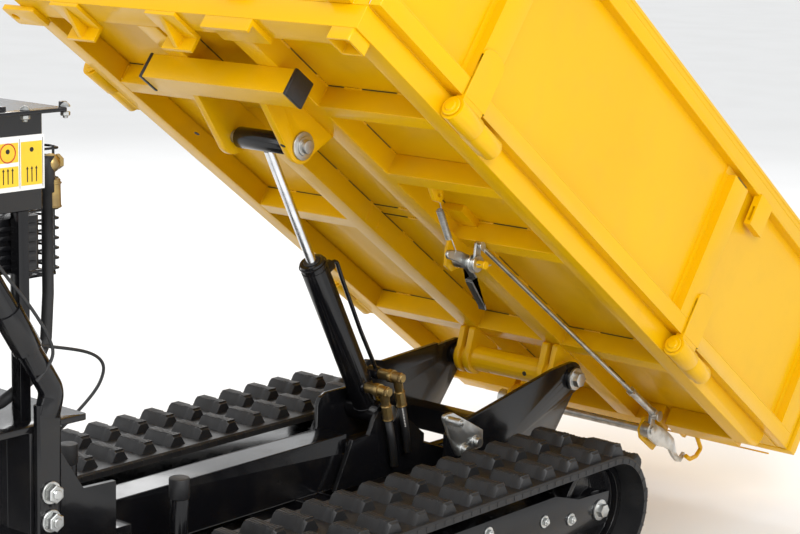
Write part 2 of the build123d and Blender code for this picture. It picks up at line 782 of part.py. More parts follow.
with BuildPart() as striker_bracket:
    outline = (
        (striker_x - 12, striker_z + 9),
        (striker_x + 14, striker_z + 9),
        (striker_x + 60, striker_z - 16),
        (striker_x + 92, striker_z - 34),
        (striker_x + 92, striker_z - 62),
        (striker_x + 30, striker_z - 66),
        (striker_x + 18, striker_z - 50),
    )
    plate(side, -136, -plate_out, outline, 5)
    disc(side, striker_x, striker_z, 4, -167, -136)
    for x, z in ((48.0, -57.0), (78.0, -50.0)):
        disc(side, striker_x + x - 4, striker_z + z, 11, -138, -136)
        disc(side, striker_x + x - 4, striker_z + z, 7.5, -145, -138)
pieces["striker_bracket"] = striker_bracket

with BuildPart() as striker_roller:
    disc(side, striker_x, striker_z, striker_r, -164.5, -136.5)
    disc(side, striker_x, striker_z, 4 + fit, -170, -130, Mode.SUBTRACT)
pieces["striker_roller"] = striker_roller

with BuildPart() as chassis_fasteners:
    disc(side, hinge_x, hinge_z, hinge_pin_r, -boss_out - 8, boss_out + 8)
    for name, sign in sides:
        y0, y1 = span(sign, boss_out, boss_out + 4)
        disc(side, hinge_x, hinge_z, 19, y0, y1)
        y0, y1 = span(sign, boss_out + 4, boss_out + 14)
        with BuildSketch(side(y1)) as nut:
            with Locations((hinge_x, hinge_z)):
                RegularPolygon(13, 6)
        extrude(to_extrude=nut.sketch, amount=y1 - y0)
        y0, y1 = span(sign, cheek_in + cheek_thick, cheek_in + cheek_thick + 5)
        disc(side, ram_point(ram_long)[0], ram_point(ram_long)[2], 15, y0, y1)
        for place in (wheel_front,) + roller_places:
            z = axle_z if place == wheel_front else wheel_r * 0 + 30 + roller_r + fit
            y0, y1 = span(sign, frame_out, frame_out + 3)
            disc(side, place, z, 17, y0, y1)
            y0, y1 = span(sign, frame_out + 3, frame_out + 12)
            with BuildSketch(side(y1)) as nut:
                with Locations((place, z)):
                    RegularPolygon(11, 6)
            extrude(to_extrude=nut.sketch, amount=y1 - y0)
pieces["chassis_fasteners"] = chassis_fasteners

# ---------------------------------------------------------------- tracks
straight = wheel_front - wheel_rear
loop = 2 * straight + 2 * pi * pitch_r
top_line = axle_z + pitch_r


def loop_place(run):
    """Point, outward direction and heading on the belt's pitch line, run from above the rear wheel."""
    run = run % loop
    if run < straight:
        return (wheel_rear + run, top_line), (0.0, 1.0)
    run -= straight
    if run < pi * pitch_r:
        turn = run / pitch_r
        out = (sin(turn), cos(turn))
        return (wheel_front + pitch_r * out[0], axle_z + pitch_r * out[1]), out
    run -= pi * pitch_r
    if run < straight:
        return (wheel_front - run, axle_z - pitch_r), (0.0, -1.0)
    turn = (run - straight) / pitch_r
    out = (-sin(turn), -cos(turn))
    return (wheel_rear + pitch_r * out[0], axle_z + pitch_r * out[1]), out


def block_outline(run, low, high, root, tip):
    """Tapered block square to the belt between two heights from the pitch line."""
    (x, z), out = loop_place(run)
    ahead = (out[1], -out[0])
    corners = []
    for shift, rise in ((-root / 2, low), (root / 2, low), (tip / 2, high), (-tip / 2, high)):
        corners.append((x + ahead[0] * shift + out[0] * rise, z + ahead[1] * shift + out[1] * rise))
    return corners


def ring(plane, r, depth, mode=Mode.ADD):
    """Race-track shaped block round both wheels."""
    with BuildSketch(plane) as face:
        with Locations(((wheel_front + wheel_rear) / 2, axle_z)):
            SlotCenterToCenter(straight, 2 * r)
    extrude(to_extrude=face.sketch, amount=depth, mode=mode)


for name, sign in sides:
    shift = 0.0 if sign < 0 else far_shift
    phase = -wheel_rear % lug_pitch
    with BuildPart() as belt:
        y0, y1 = span(sign, belt_in, belt_out)
        ring(side(y1), wheel_r + carcass, y1 - y0)
        for row_in, row_out, lead in lug_rows:
            y0, y1 = span(sign, row_in, row_out)
            low = wheel_r + carcass - 2 - pitch_r
            high = wheel_r + carcass + lug_high - pitch_r
            with BuildSketch(side(y1)) as row:
                for count in range(lug_count):
                    run = phase + lead + shift + count * loop / lug_count
                    Polygon(*block_outline(run, low, high, lug_root, lug_tip), align=None)
            extrude(to_extrude=row.sketch, amount=y1 - y0)
        y0, y1 = span(sign, belt_in - 1, belt_out + 1)
        ring(side(y1), wheel_r, y1 - y0, Mode.SUBTRACT)
        y0, y1 = span(sign, guide_in, guide_out)
        with BuildSketch(side(y1)) as row:
            for count in range(lug_count):
                run = phase + shift + (count + 0.5) * loop / lug_count
                low = wheel_r + 2 - pitch_r
                high = wheel_r - guide_high - pitch_r
                Polygon(*block_outline(run, low, high, 26.0, 16.0), align=None)
        extrude(to_extrude=row.sketch, amount=y1 - y0)
    pieces[f"belt_{name}"] = belt

rim_r = wheel_r - 0.05
hub_clear = wheel_r - guide_high - 1.5
for name, sign in sides:
    with BuildPart() as sprocket:
        for rim_in, rim_out in ((214.0, guide_in - 2), (guide_out + 2, 306.0)):
            y0, y1 = span(sign, rim_in, rim_out)
            disc(side, wheel_rear, axle_z, rim_r, y0, y1)
        y0, y1 = span(sign, 213.0, 309.0)
        disc(side, wheel_rear, axle_z, hub_clear, y0, y1)
        disc(side, wheel_rear, axle_z, 14 + fit, y0 - 1, y1 + 1, Mode.SUBTRACT)
    pieces[f"sprocket_{name}"] = sprocket

    with BuildPart() as idler:
        for rim_in, rim_out in ((214.0, guide_in - 2), (guide_out + 2, 306.0)):
            y0, y1 = span(sign, rim_in, rim_out)
            disc(side, wheel_front, axle_z, rim_r, y0, y1)
        y0, y1 = span(sign, 211.0, 309.0)
        disc(side, wheel_front, axle_z, 30, y0, y1)
        y0, y1 = span(sign, 226.0, 294.0)
        disc(side, wheel_front, axle_z, hub_clear, y0, y1)
        for cut_in, cut_out in ((213.0, 226.0), (294.0, 307.0)):
            y0, y1 = span(sign, cut_in, cut_out)
            with BuildSketch(side(y1)) as dish:
                with Locations((wheel_front, axle_z)):
                    Circle(rim_r - 12)
                    Circle(30, mode=Mode.SUBTRACT)
            extrude(to_extrude=dish.sketch, amount=y1 - y0, mode=Mode.SUBTRACT)
        y0, y1 = span(sign, 200.0, 320.0)
        disc(side, wheel_front, axle_z, axle_r + fit, y0, y1, Mode.SUBTRACT)
    pieces[f"idler_{name}"] = idler

    roller_z = axle_z - wheel_r + roller_r + fit
    for number, place in enumerate(roller_places):
        with BuildPart() as roller:
            for rim_in, rim_out in ((214.0, guide_in - 3), (guide_out + 3, 306.0)):
                y0, y1 = span(sign, rim_in, rim_out)
                disc(side, place, roller_z, roller_r, y0, y1)
            y0, y1 = span(sign, 211.0, 309.0)
            disc(side, place, roller_z, 13, y0, y1)
            disc(side, place, roller_z, axle_r + fit, y0 - 1, y1 + 1, Mode.SUBTRACT)
        pieces[f"roller_{name}_{number + 1}"] = roller

    with BuildPart() as track_frame:
        outline = (
            (-400.0, 72.0),
            (-330.0, 38.0),
            (230.0, 38.0),
            (290.0, 84.0),
            (wheel_front + 22, 84.0),
            (wheel_front + 26, 136.0),
            (290.0, 140.0),
            (230.0, 158.0),
            (-360.0, 158.0),
            (-400.0, 140.0),
        )
        for y_a, y_b in ((frame_in, frame_in + frame_plate), (frame_out - frame_plate, frame_out)):
            y0, y1 = span(sign, y_a, y_b)
            plate(side, y0, y1, outline)
        y0, y1 = span(sign, frame_in + 4, frame_out - 4)
        plain_box(-380, 235, y0, y1, 100, 158)
        plain_box(-350, 205, y0 + 5, y1 - 5, 92, 100)
        for place in roller_places:
            disc(side, place, roller_z, axle_r, y0, y1)
        disc(side, wheel_front, axle_z, axle_r, y0, y1)
    pieces[f"track_frame_{name}"] = track_frame

# ---------------------------------------------------------------- power unit
with BuildPart() as engine_deck:
    outline = (
        (-474.0, 168.0),
        (-474.0, 290.0),
        (-530.0, 292.0),
        (-600.0, deck_z),
        (-1000.0, deck_z),
        (-1000.0, deck_z - 60),
        (-700.0, 200.0),
        (-640.0, 168.0),
    )
    for name, sign in sides:
        y0, y1 = span(sign, cheek_y, cheek_y + 8)
        plate(side, y0, y1, outline)
        y0, y1 = span(sign, cheek_y + 8, bar_y - 5)
        plain_box(foot_x - 24, foot_x + 24, y0, y1, 268, deck_z)
    plain_box(-1000, -560, -144, 144, deck_z, deck_z + deck_thick, 6)
    plain_box(-560, -500, -cheek_y, cheek_y, 232, 240)
    for x, y in ((-700.0, -112.0), (-640.0, -112.0), (-700.0, 62.0), (-640.0, 62.0)):
        plain_box(x - 8, x + 8, y - 8, y + 8, deck_z + deck_thick, 675)
pieces["engine_deck"] = engine_deck

with BuildPart() as gearbox:
    plain_box(-600, beam_rear - 0.0, -cheek_y, cheek_y, 70, 228, 14)
    disc(side, wheel_rear, axle_z, 34, -205, 205)
    disc(side, wheel_rear, axle_z, 14, -312, 312)
    plain_box(-680, -600, -60, 60, 120, 220, 10)
pieces["gearbox"] = gearbox

engine_x0 = -985.0
engine_x1 = -790.0
with BuildPart() as engine_block:
    plain_box(engine_x0, engine_x1, -70, 120, deck_z + deck_thick, 560, 12)
    plain_box(engine_x0 + 20, engine_x1 - 10, -60, 110, 560, 640, 16)
    plain_box(engine_x1 - 10, engine_x1 + 14, -40, 60, 460, 560, 6)
    plain_box(engine_x1, -700, 90, 110, deck_z + deck_thick, 470, 5)
    disc(side, -880, 500, 26, -110, -70)
    plain_box(-750, -597, -100, -20, 595, 664, 8)
    for count in range(5):
        plain_box(-740, -607, -103, -99, 601 + count * 12, 607 + count * 12, 1)
    plain_box(-708, -690, -80, -40, deck_z + deck_thick, 597)
    plain_box(engine_x1 - 12, -745, -70, -40, 600, 640, 5)
pieces["engine_block"] = engine_block

with BuildPart() as fan_housing:
    disc(side, -885, 520, 92, 120.05, 150)
    disc(side, -885, 520, 60, 150, 172)
    plain_box(-900, -870, 150, 186, 590, 606, 4)
pieces["fan_housing"] = fan_housing

with BuildPart() as fuel_tank:
    plain_box(engine_x0 + 5, engine_x1 - 10, -60, 130, 640.05, 725, 24)
    with BuildSketch(level(725)) as cap:
        with Locations((-900, 40)):
            Circle(28)
    extrude(to_extrude=cap.sketch, amount=22)
pieces["fuel_tank"] = fuel_tank

guard_y0 = 77.0
guard_y1 = 129.0
with BuildPart() as muffler:
    plain_box(-690, -600, guard_y0 + 7, guard_y1 - 7, 585, 735, 16)
    plain_box(-775, -690, guard_y0 + 11, guard_y1 - 11, 600, 626, 6)
    plain_box(engine_x1 - 9.9, -765, guard_y0 + 4, guard_y1 - 9.1, 565, 634, 6)
    plain_box(-650, -630, guard_y0 + 15, guard_y1 - 15, deck_z + deck_thick, 587)
    disc(side, -645, 620, 9, guard_y1 - 7, guard_y1 - 4)
pieces["muffler"] = muffler

with BuildPart() as wire_guard:
    wires = 13
    for count in range(wires):
        z = wire_low + count * wire_pitch
        route = [
            (wire_x0, wire_y0, z),
            (wire_x1, wire_y0, z),
            (wire_x1 + 6, (wire_y0 + wire_y1) / 2, z),
            (wire_x1, wire_y1, z),
            (wire_x0, wire_y1, z),
        ]
        bent(route, 5.0, wire_r)
    wire_top = wire_low + (wires - 1) * wire_pitch
    for x in (wire_x0 + 2, (wire_x0 + wire_x1) / 2, wire_x1 - 8):
        for y in (wire_y0, wire_y1):
            rod((x, y, wire_low - 4), (x, y, wire_top + 4), wire_r)
    plain_box(wire_x0 - 2, wire_x1 - 6, wire_y0 - 1, wire_y1 + 1, wire_low - 8, wire_low - 4)
    plain_box(wire_x0 - 2, wire_x0 + 6, wire_y0 + 12, wire_y1 - 12, deck_z + deck_thick, wire_low - 6)
pieces["wire_guard"] = wire_guard

with BuildPart() as oil_tank:
    x0, x1, y0, y1, z0, z1 = tank_box
    plain_box(x0, x1, y0, y1, z0 + 0.05, z1, 6)
    plain_box(x0 - lid_over, x1 + lid_over, y0 - 30, y1 + 30, z1, z1 + lid_thick, 4)
    for x in (x0 - 18, (x0 + x1) / 2, x1 + 18):
        for y in (y0 - 15, y1 + 15):
            with BuildSketch(level(z1 + lid_thick)) as head:
                with Locations((x, y)):
                    RegularPolygon(6, 6)
            extrude(to_extrude=head.sketch, amount=6)
    with BuildSketch(level(z1 + lid_thick)) as filler:
        with Locations(((x0 + x1) / 2, 20)):
            Circle(22)
    extrude(to_extrude=filler.sketch, amount=26)
pieces["oil_tank"] = oil_tank

hose_y = -92.0
with BuildPart() as tank_hose:
    hose_x = tank_box[1] + 27
    rod((tank_box[1] + 0.05, hose_y, 726), (hose_x, hose_y, 726), 9)
    rod((hose_x, hose_y, 736), (hose_x, hose_y, 690), 10)
    route = [
        (hose_x, hose_y, 690),
        (hose_x, hose_y, 560),
        (hose_x - 5, hose_y - 1, 500),
        (hose_x - 32, hose_y - 2, 452),
        (hose_x - 80, hose_y - 2, 430),
        (-713, hose_y - 2, 430),
    ]
    bent(route, 22.0, 7.5)
pieces["tank_hose"] = tank_hose

with BuildPart() as valve_block:
    plain_box(-790, -713.1, -140, -60, deck_z + deck_thick, 452, 5)
    plain_box(-775, -735, -125, -85, 452, 478, 4)
    disc(side, -755, 490, 5, -115, -95)
    plain_box(-761, -749, -113, -97, 478, 492)
pieces["valve_block"] = valve_block

with BuildPart() as valve_lever:
    disc(side, -755, 490, 11, -94.5, -86)
    disc(side, -755, 490, 11, -124, -115.5)
    plate(side, -94.5, -88, ((-760, 492), (-750, 492), (-772, 560), (-782, 560)))
    plate(side, -122, -115.5, ((-760, 492), (-750, 492), (-772, 560), (-782, 560)))
    plain_box(-784, -770, -122, -88, 552, 566)
    rod((-777, -105, 566), (-800, -105, 655), 5)
    rod((-800, -105, 655), (-807, -105, 682), 11)
    disc(side, -755, 490, 5 + fit, -130, -80, Mode.SUBTRACT)
pieces["valve_lever"] = valve_lever

slope = 0.6249
bar_top_z = 930.0
bar_top_x = -623.0 - (bar_top_z - 451.0) * slope
clutch_x = bar_top_x - 10
clutch_z = bar_top_z - 46
grip_x1 = -1070.0
with BuildPart() as handlebars:
    for name, sign in sides:
        y = sign * bar_y
        y0, y1 = span(sign, bar_y - 5, bar_y + 5)
        plain_box(foot_x - 19, foot_x + 19, y0, y1, 258, 436, 3)
        route = [
            (foot_x, y, 420),
            (foot_x + 8, y, 451),
            (bar_top_x, y, bar_top_z),
            (grip_x1 + 2, y, bar_top_z + 48),
        ]
        bent(route, 24.0, bar_r)
        low = (-623.0 - 60 * slope, y, 511.0)
        high = (-623.0 - 112 * slope, y, 563.0)
        rod(low, high, sleeve_r)
        for z in (284.0, 321.0):
            y0, y1 = span(sign, bar_y + 5, bar_y + 8)
            disc(side, foot_x, z, 14, y0, y1)
            y0, y1 = span(sign, bar_y + 8, bar_y + 18)
            with BuildSketch(side(y1)) as nut:
                with Locations((foot_x, z)):
                    RegularPolygon(10, 6)
            extrude(to_extrude=nut.sketch, amount=y1 - y0)
    z_bar = 850.0
    x_bar = -623.0 - (z_bar - 451.0) * slope
    for name, sign in sides:
        y0, y1 = span(sign, bar_y - 3, bar_y + 3)
        clutch_plate = (
            (bar_top_x + 20, bar_top_z - 60),
            (bar_top_x + 42, bar_top_z - 40),
            (clutch_x + 4, clutch_z + 10),
            (clutch_x - 8, clutch_z + 4),
            (clutch_x - 6, clutch_z - 8),
        )
        plate(side, y0, y1, clutch_plate)
        y0, y1 = span(sign, bar_y - 3, bar_y + 9.6)
        disc(side, clutch_x, clutch_z, 3, y0, y1)
    rod((x_bar, -bar_y, z_bar), (x_bar, bar_y, z_bar), 12)
pieces["handlebars"] = handlebars

with BuildPart() as console:
    plain_box(x_bar - 70, x_bar + 20, -90, 90, 863, 868, 8)
    plain_box(x_bar - 10, x_bar + 10, -90, -70, 862, 864)
    plain_box(x_bar - 10, x_bar + 10, 70, 90, 862, 864)
    plain_box(x_bar - 40, x_bar - 10, -8, 8, 855, 876, 0, Mode.SUBTRACT)
    plain_box(x_bar - 44, x_bar - 6, 12, 16, 868, 886)
    plain_box(x_bar - 44, x_bar - 6, -16, -12, 868, 886)
    disc(side, x_bar - 25, 878, 4, -16, 16)
    plain_box(x_bar - 60, x_bar - 20, 42, 70, 868, 876, 4)
    disc(side, x_bar - 40, 884, 3, 44, 68)
    plain_box(x_bar - 46, x_bar - 34, 62, 68, 876, 890)
    plain_box(x_bar - 46, x_bar - 34, 44, 50, 876, 890)
pieces["console"] = console

with BuildPart() as gear_lever:
    disc(side, x_bar - 25, 878, 9, -7, 7)
    rod((x_bar - 25, 0, 884), (x_bar - 45, 0, 968), 5)
    rod((x_bar - 45, 0, 968), (x_bar - 50, 0, 990), 13)
    disc(side, x_bar - 25, 878, 4 + fit, -20, 20, Mode.SUBTRACT)
pieces["gear_lever"] = gear_lever

with BuildPart() as throttle_lever:
    disc(side, x_bar - 40, 884, 6, 51, 61)
    plate(side, 52, 60, ((x_bar - 44, 886), (x_bar - 36, 886), (x_bar - 56, 930), (x_bar - 68, 930)))
    disc(side, x_bar - 40, 884, 3 + fit, 40, 70, Mode.SUBTRACT)
pieces["throttle_lever"] = throttle_lever

with BuildPart() as grips:
    for name, sign in sides:
        y = sign * bar_y
        run = Vector(grip_x1 + 2 - bar_top_x, 0, 48.0)
        unit = run.normalized()
        start = Vector(bar_top_x, y, bar_top_z) + unit * 36
        end = Vector(grip_x1 + 2, y, bar_top_z + 48) + unit * 3
        rod(tuple(start), tuple(end), grip_r)
        core_end = Vector(grip_x1 + 2, y, bar_top_z + 48) + unit * 0.02
        rod(tuple(start - unit), tuple(core_end), bar_r + touch, Mode.SUBTRACT)
pieces["grips"] = grips

for name, sign in sides:
    with BuildPart() as clutch_lever:
        y0, y1 = span(sign, bar_y + 3.3, bar_y + 9.3)
        disc(side, clutch_x, clutch_z, 8, y0, y1)
        arm_points = (
            (clutch_x - 4, clutch_z + 6),
            (clutch_x - 4, clutch_z - 7),
            (clutch_x - 30, clutch_z - 12),
            (clutch_x - 128, clutch_z + 14),
            (clutch_x - 134, clutch_z + 22),
            (clutch_x - 126, clutch_z + 27),
            (clutch_x - 30, clutch_z + 3),
        )
        plate(side, y0, y1, arm_points)
        disc(side, clutch_x, clutch_z, 3 + fit, y0 - 1, y1 + 1, Mode.SUBTRACT)
    pieces[f"clutch_lever_{name}"] = clutch_lever

for label, builder in pieces.items():
    builder.part.label = label
    export_step(builder.part, f"parts/{label}.step")
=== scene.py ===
"""Visual model of a tracked power wheelbarrow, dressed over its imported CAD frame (metres)."""

import json
import logging
from dataclasses import dataclass
from enum import Enum
from math import cos, pi, radians, sin, tau
from typing import Iterable, Sequence

import bmesh
import bpy
from mathutils import Matrix, Vector


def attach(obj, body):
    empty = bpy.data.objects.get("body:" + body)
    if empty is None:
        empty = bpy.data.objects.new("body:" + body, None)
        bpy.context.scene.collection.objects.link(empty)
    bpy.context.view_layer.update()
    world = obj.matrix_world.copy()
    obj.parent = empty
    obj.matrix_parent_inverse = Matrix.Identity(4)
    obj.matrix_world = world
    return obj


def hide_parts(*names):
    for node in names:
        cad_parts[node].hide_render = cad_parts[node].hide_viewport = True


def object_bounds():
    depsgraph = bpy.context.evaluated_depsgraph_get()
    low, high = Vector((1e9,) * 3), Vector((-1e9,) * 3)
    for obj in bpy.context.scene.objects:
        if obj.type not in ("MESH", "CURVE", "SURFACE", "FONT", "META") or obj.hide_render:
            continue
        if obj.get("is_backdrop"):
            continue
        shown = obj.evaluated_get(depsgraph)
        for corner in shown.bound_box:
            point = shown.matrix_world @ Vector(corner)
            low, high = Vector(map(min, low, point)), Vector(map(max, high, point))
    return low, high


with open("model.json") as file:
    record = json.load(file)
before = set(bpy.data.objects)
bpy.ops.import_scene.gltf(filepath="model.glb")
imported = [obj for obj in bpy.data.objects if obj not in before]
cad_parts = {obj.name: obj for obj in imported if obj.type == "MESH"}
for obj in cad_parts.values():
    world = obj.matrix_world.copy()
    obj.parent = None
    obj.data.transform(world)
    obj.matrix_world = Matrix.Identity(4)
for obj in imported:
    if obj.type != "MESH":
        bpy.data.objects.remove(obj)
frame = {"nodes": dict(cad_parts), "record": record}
log = logging.getLogger("power_wheelbarrow")
SMOOTH_ANGLE = radians(34)

Point = Sequence[float]


# ---------------------------------------------------------------- shader graph
class Value:
    """A shader socket that takes part in arithmetic.

    Args:
        graph: The graph that owns the socket.
        socket: The output socket.
    """

    def __init__(self, graph: "Graph", socket: bpy.types.NodeSocket) -> None:
        self.graph = graph
        self.socket = socket

    def __add__(self, other: "Value | float") -> "Value":
        return self.graph.maths("ADD", self, other)

    def __radd__(self, other: float) -> "Value":
        return self.graph.maths("ADD", other, self)

    def __sub__(self, other: "Value | float") -> "Value":
        return self.graph.maths("SUBTRACT", self, other)

    def __rsub__(self, other: float) -> "Value":
        return self.graph.maths("SUBTRACT", other, self)

    def __mul__(self, other: "Value | float") -> "Value":
        return self.graph.maths("MULTIPLY", self, other)

    def __rmul__(self, other: float) -> "Value":
        return self.graph.maths("MULTIPLY", other, self)

    def __pow__(self, other: float) -> "Value":
        return self.graph.maths("POWER", self, other)


class Graph:
    """Node tree of one material.

    Args:
        name: Name of the material.
    """

    def __init__(self, name: str) -> None:
        self.material = bpy.data.materials.new(name)
        self.material.use_nodes = True
        self.tree = self.material.node_tree
        self.shader = next(n for n in self.tree.nodes if n.type == "BSDF_PRINCIPLED")

    def node(self, kind: str, inputs: dict, out: int | str = 0, **settings: object) -> Value:
        """Adds one node.

        Args:
            kind: Blender's node type.
            inputs: Socket name or number to a value or constant.
            out: Name or number of the output to hand back.
            settings: Properties of the node.

        Returns:
            The chosen output.
        """
        made = self.tree.nodes.new(kind)
        for key, value in settings.items():
            setattr(made, key, value)
        for key, value in inputs.items():
            self.feed(made.inputs[key], value)
        return Value(self, made.outputs[out])

    def feed(self, socket: bpy.types.NodeSocket, value: object) -> None:
        """Links a value to a socket, or sets a constant on it."""
        if isinstance(value, Value):
            self.tree.links.new(value.socket, socket)
        else:
            socket.default_value = value

    def maths(self, operation: str, *terms: "Value | float") -> Value:
        """Adds one Math node."""
        return self.node("ShaderNodeMath", dict(enumerate(terms)), operation=operation)

    def noise(self, scale: float, detail: float = 3.0, stretch: Point = (1, 1, 1)) -> Value:
        """Noise over Object coordinates, from 0 to 1."""
        place = self.node("ShaderNodeTexCoord", {}, out="Object")
        scaled = self.node("ShaderNodeVectorMath", {0: place, 1: tuple(stretch)}, operation="MULTIPLY")
        return self.node("ShaderNodeTexNoise", {"Vector": scaled, "Scale": scale, "Detail": detail})

    def cells(self, scale: float) -> Value:
        """Distance to the nearest random cell centre over Object coordinates."""
        place = self.node("ShaderNodeTexCoord", {}, out="Object")
        return self.node("ShaderNodeTexVoronoi", {"Vector": place, "Scale": scale}, out="Distance")

    def band(self, value: Value, low: float, high: float) -> Value:
        """Smooth step from 0 at low to 1 at high."""
        inputs = {0: value, 1: low, 2: high, 3: 0.0, 4: 1.0}
        return self.node("ShaderNodeMapRange", inputs, interpolation_type="SMOOTHSTEP")

    def blend(self, share: Value, first: object, second: object) -> Value:
        """Mixes two colours by a share."""
        inputs = {0: share, 6: opaque(first), 7: opaque(second)}
        return self.node("ShaderNodeMix", inputs, out=2, data_type="RGBA")

    def relief(self, height: Value, depth: float) -> Value:
        """Normal from a height in metres times depth."""
        return self.node("ShaderNodeBump", {"Height": height, "Distance": depth, "Strength": 1.0})

    def wire(self, **inputs: object) -> bpy.types.Material:
        """Feeds the surface shader and hands back the material."""
        for key, value in inputs.items():
            self.feed(self.shader.inputs[key.replace("_", " ")], value)
        return self.material


def opaque(colour: object) -> object:
    """A colour with full alpha, or the value unchanged."""
    return (*colour, 1.0) if isinstance(colour, tuple) else colour


# ---------------------------------------------------------------- finishes
@dataclass(frozen=True)
class Enamel:
    """Gloss paint over welded steel, with orange peel, dust and faint wear."""

    name: str
    colour: tuple
    shade: tuple
    roughness: float = 0.26
    dust: float = 0.05
    peel: float = 0.00008
    shine: float = 0.3

    def build(self) -> bpy.types.Material:
        """Returns: the material."""
        g = Graph(self.name)
        cloud = g.band(g.noise(3.2, 5.0), 0.3, 0.75)
        speck = g.band(g.cells(210.0), 0.16, 0.05) * g.band(g.noise(31.0), 0.5, 0.66)
        dull = g.band(g.noise(17.0, 6.0), 0.46, 0.74)
        tone = g.blend(cloud * 0.3 + speck * 0.3, self.colour, self.shade)
        dusty = g.blend(dull * self.dust, tone, (0.25, 0.20, 0.12))
        rough = self.roughness + 0.08 * dull + 0.04 * g.noise(140.0) + 0.2 * speck
        height = g.noise(190.0, 2.0) + 1.5 * g.noise(24.0, 2.0)
        return g.wire(Base_Color=dusty, Roughness=rough, Specular_IOR_Level=self.shine,
                      Coat_Weight=0.5 * self.shine, Coat_Roughness=0.06, Normal=g.relief(height, self.peel))


@dataclass(frozen=True)
class Plated:
    """Plated, rolled or polished metal."""

    name: str
    colour: tuple
    shade: tuple
    roughness: float = 0.3
    grain: Point = (1, 1, 1)
    relief: float = 0.00006

    def build(self) -> bpy.types.Material:
        """Returns: the material."""
        g = Graph(self.name)
        bloom = g.band(g.noise(46.0, 5.0), 0.4, 0.66)
        spots = g.band(g.noise(11.0, 4.0), 0.5, 0.72)
        brushed = g.noise(420.0, 2.0, self.grain)
        colour = g.blend(bloom * 0.6 + spots * 0.3, self.colour, self.shade)
        rough = self.roughness + 0.16 * bloom + 0.08 * brushed
        return g.wire(Base_Color=colour, Roughness=rough, Metallic=1.0 - 0.18 * spots,
                      Normal=g.relief(brushed, self.relief))


@dataclass(frozen=True)
class Moulded:
    """Rubber or plastic with a moulded grain."""

    name: str
    colour: tuple
    shade: tuple
    roughness: float = 0.55
    grain: float = 620.0
    relief: float = 0.0003
    dust: float = 0.3

    def build(self) -> bpy.types.Material:
        """Returns: the material."""
        g = Graph(self.name)
        patch = g.band(g.noise(14.0, 6.0), 0.42, 0.7)
        film = g.band(g.noise(60.0, 4.0), 0.45, 0.75)
        grain = g.cells(self.grain)
        colour = g.blend(patch * self.dust + film * 0.12, self.colour, self.shade)
        rough = self.roughness + 0.18 * patch - 0.08 * film
        return g.wire(Base_Color=colour, Roughness=rough, Normal=g.relief(grain + g.noise(90.0), self.relief))


@dataclass(frozen=True)
class Cast:
    """Sand-cast housing with a rough skin."""

    name: str
    colour: tuple
    shade: tuple
    metallic: float = 0.7

    def build(self) -> bpy.types.Material:
        """Returns: the material."""
        g = Graph(self.name)
        stain = g.band(g.noise(19.0, 6.0), 0.45, 0.7)
        skin = g.noise(520.0, 4.0) + 0.6 * g.cells(330.0)
        colour = g.blend(stain * 0.7, self.colour, self.shade)
        return g.wire(Base_Color=colour, Roughness=0.42 + 0.25 * stain, Metallic=self.metallic,
                      Normal=g.relief(skin, 0.0005))


class Slot(Enum):
    """Finishes, keyed as the record's material slots."""

    YELLOW = Enamel("yellow", (0.80, 0.45, 0.0), (0.62, 0.32, 0.0), 0.3, shine=0.22)
    BLACK = Enamel("black", (0.004, 0.004, 0.005), (0.009, 0.009, 0.010), 0.17, 0.02, 0.00005, 0.34)
    ZINC = Plated("zinc", (0.62, 0.63, 0.62), (0.36, 0.36, 0.34), 0.28)
    CHROME = Plated("chrome", (0.78, 0.79, 0.8), (0.62, 0.63, 0.66), 0.07, (1, 1, 0.05), 0.00002)
    BRASS = Plated("brass", (0.44, 0.31, 0.12), (0.22, 0.16, 0.09), 0.34)
    RUBBER = Moulded("rubber", (0.009, 0.009, 0.010), (0.024, 0.022, 0.020), 0.5, 620.0, 0.00022)
    PLASTIC = Moulded("plastic", (0.014, 0.014, 0.015), (0.045, 0.045, 0.045), 0.42, 900.0, 0.00025)
    CAST = Cast("cast", (0.30, 0.31, 0.32), (0.12, 0.115, 0.11))
    TANK_RED = Enamel("tank_red", (0.42, 0.018, 0.010), (0.28, 0.012, 0.008), 0.16)
    GALVANISED = Plated("galvanised", (0.34, 0.34, 0.33), (0.17, 0.165, 0.15), 0.36)
    RED_PRINT = Moulded("red_print", (0.55, 0.03, 0.02), (0.4, 0.03, 0.02), 0.4, 1500.0, 0.00003, 0.2)
    STEEL_DULL = Plated("steel_dull", (0.30, 0.27, 0.25), (0.13, 0.09, 0.07), 0.45)
    # Near-black finish for painted shade in the bed seams, the side slots and the drain holes, and for the print on the
    # tank label.
    SHADE_AND_PRINT = Moulded("shade_and_print", (0.012, 0.011, 0.010), (0.05, 0.042, 0.03), 0.7)
    LABEL = Moulded("label", (0.82, 0.81, 0.78), (0.60, 0.58, 0.54), 0.35, 1500.0, 0.00003, 0.25)
    LABEL_YELLOW = Moulded("label_yellow", (0.85, 0.55, 0.02), (0.6, 0.38, 0.03), 0.35, 1500.0, 0.00003, 0.25)
    GREASE = Moulded("grease", (0.02, 0.018, 0.014), (0.09, 0.07, 0.04), 0.25, 120.0, 0.0006, 0.6)


_materials: dict[Slot, bpy.types.Material] = {}


def material(slot: Slot) -> bpy.types.Material:
    """The material of a finish, built once."""
    if slot not in _materials:
        _materials[slot] = slot.value.build()
    return _materials[slot]


# ---------------------------------------------------------------- places
def joint(name: str) -> dict:
    """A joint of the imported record."""
    return next(j for j in frame["record"]["behaviour"]["joints"] if j["name"] == name)


def basis(along: Vector, origin: Vector) -> Matrix:
    """Frame with its first axis along a direction in the XZ plane and its second along +Y."""
    across = Vector((0, 1, 0))
    up = along.cross(across)
    turn = Matrix((along, across, up)).transposed().to_4x4()
    return Matrix.Translation(origin) @ turn


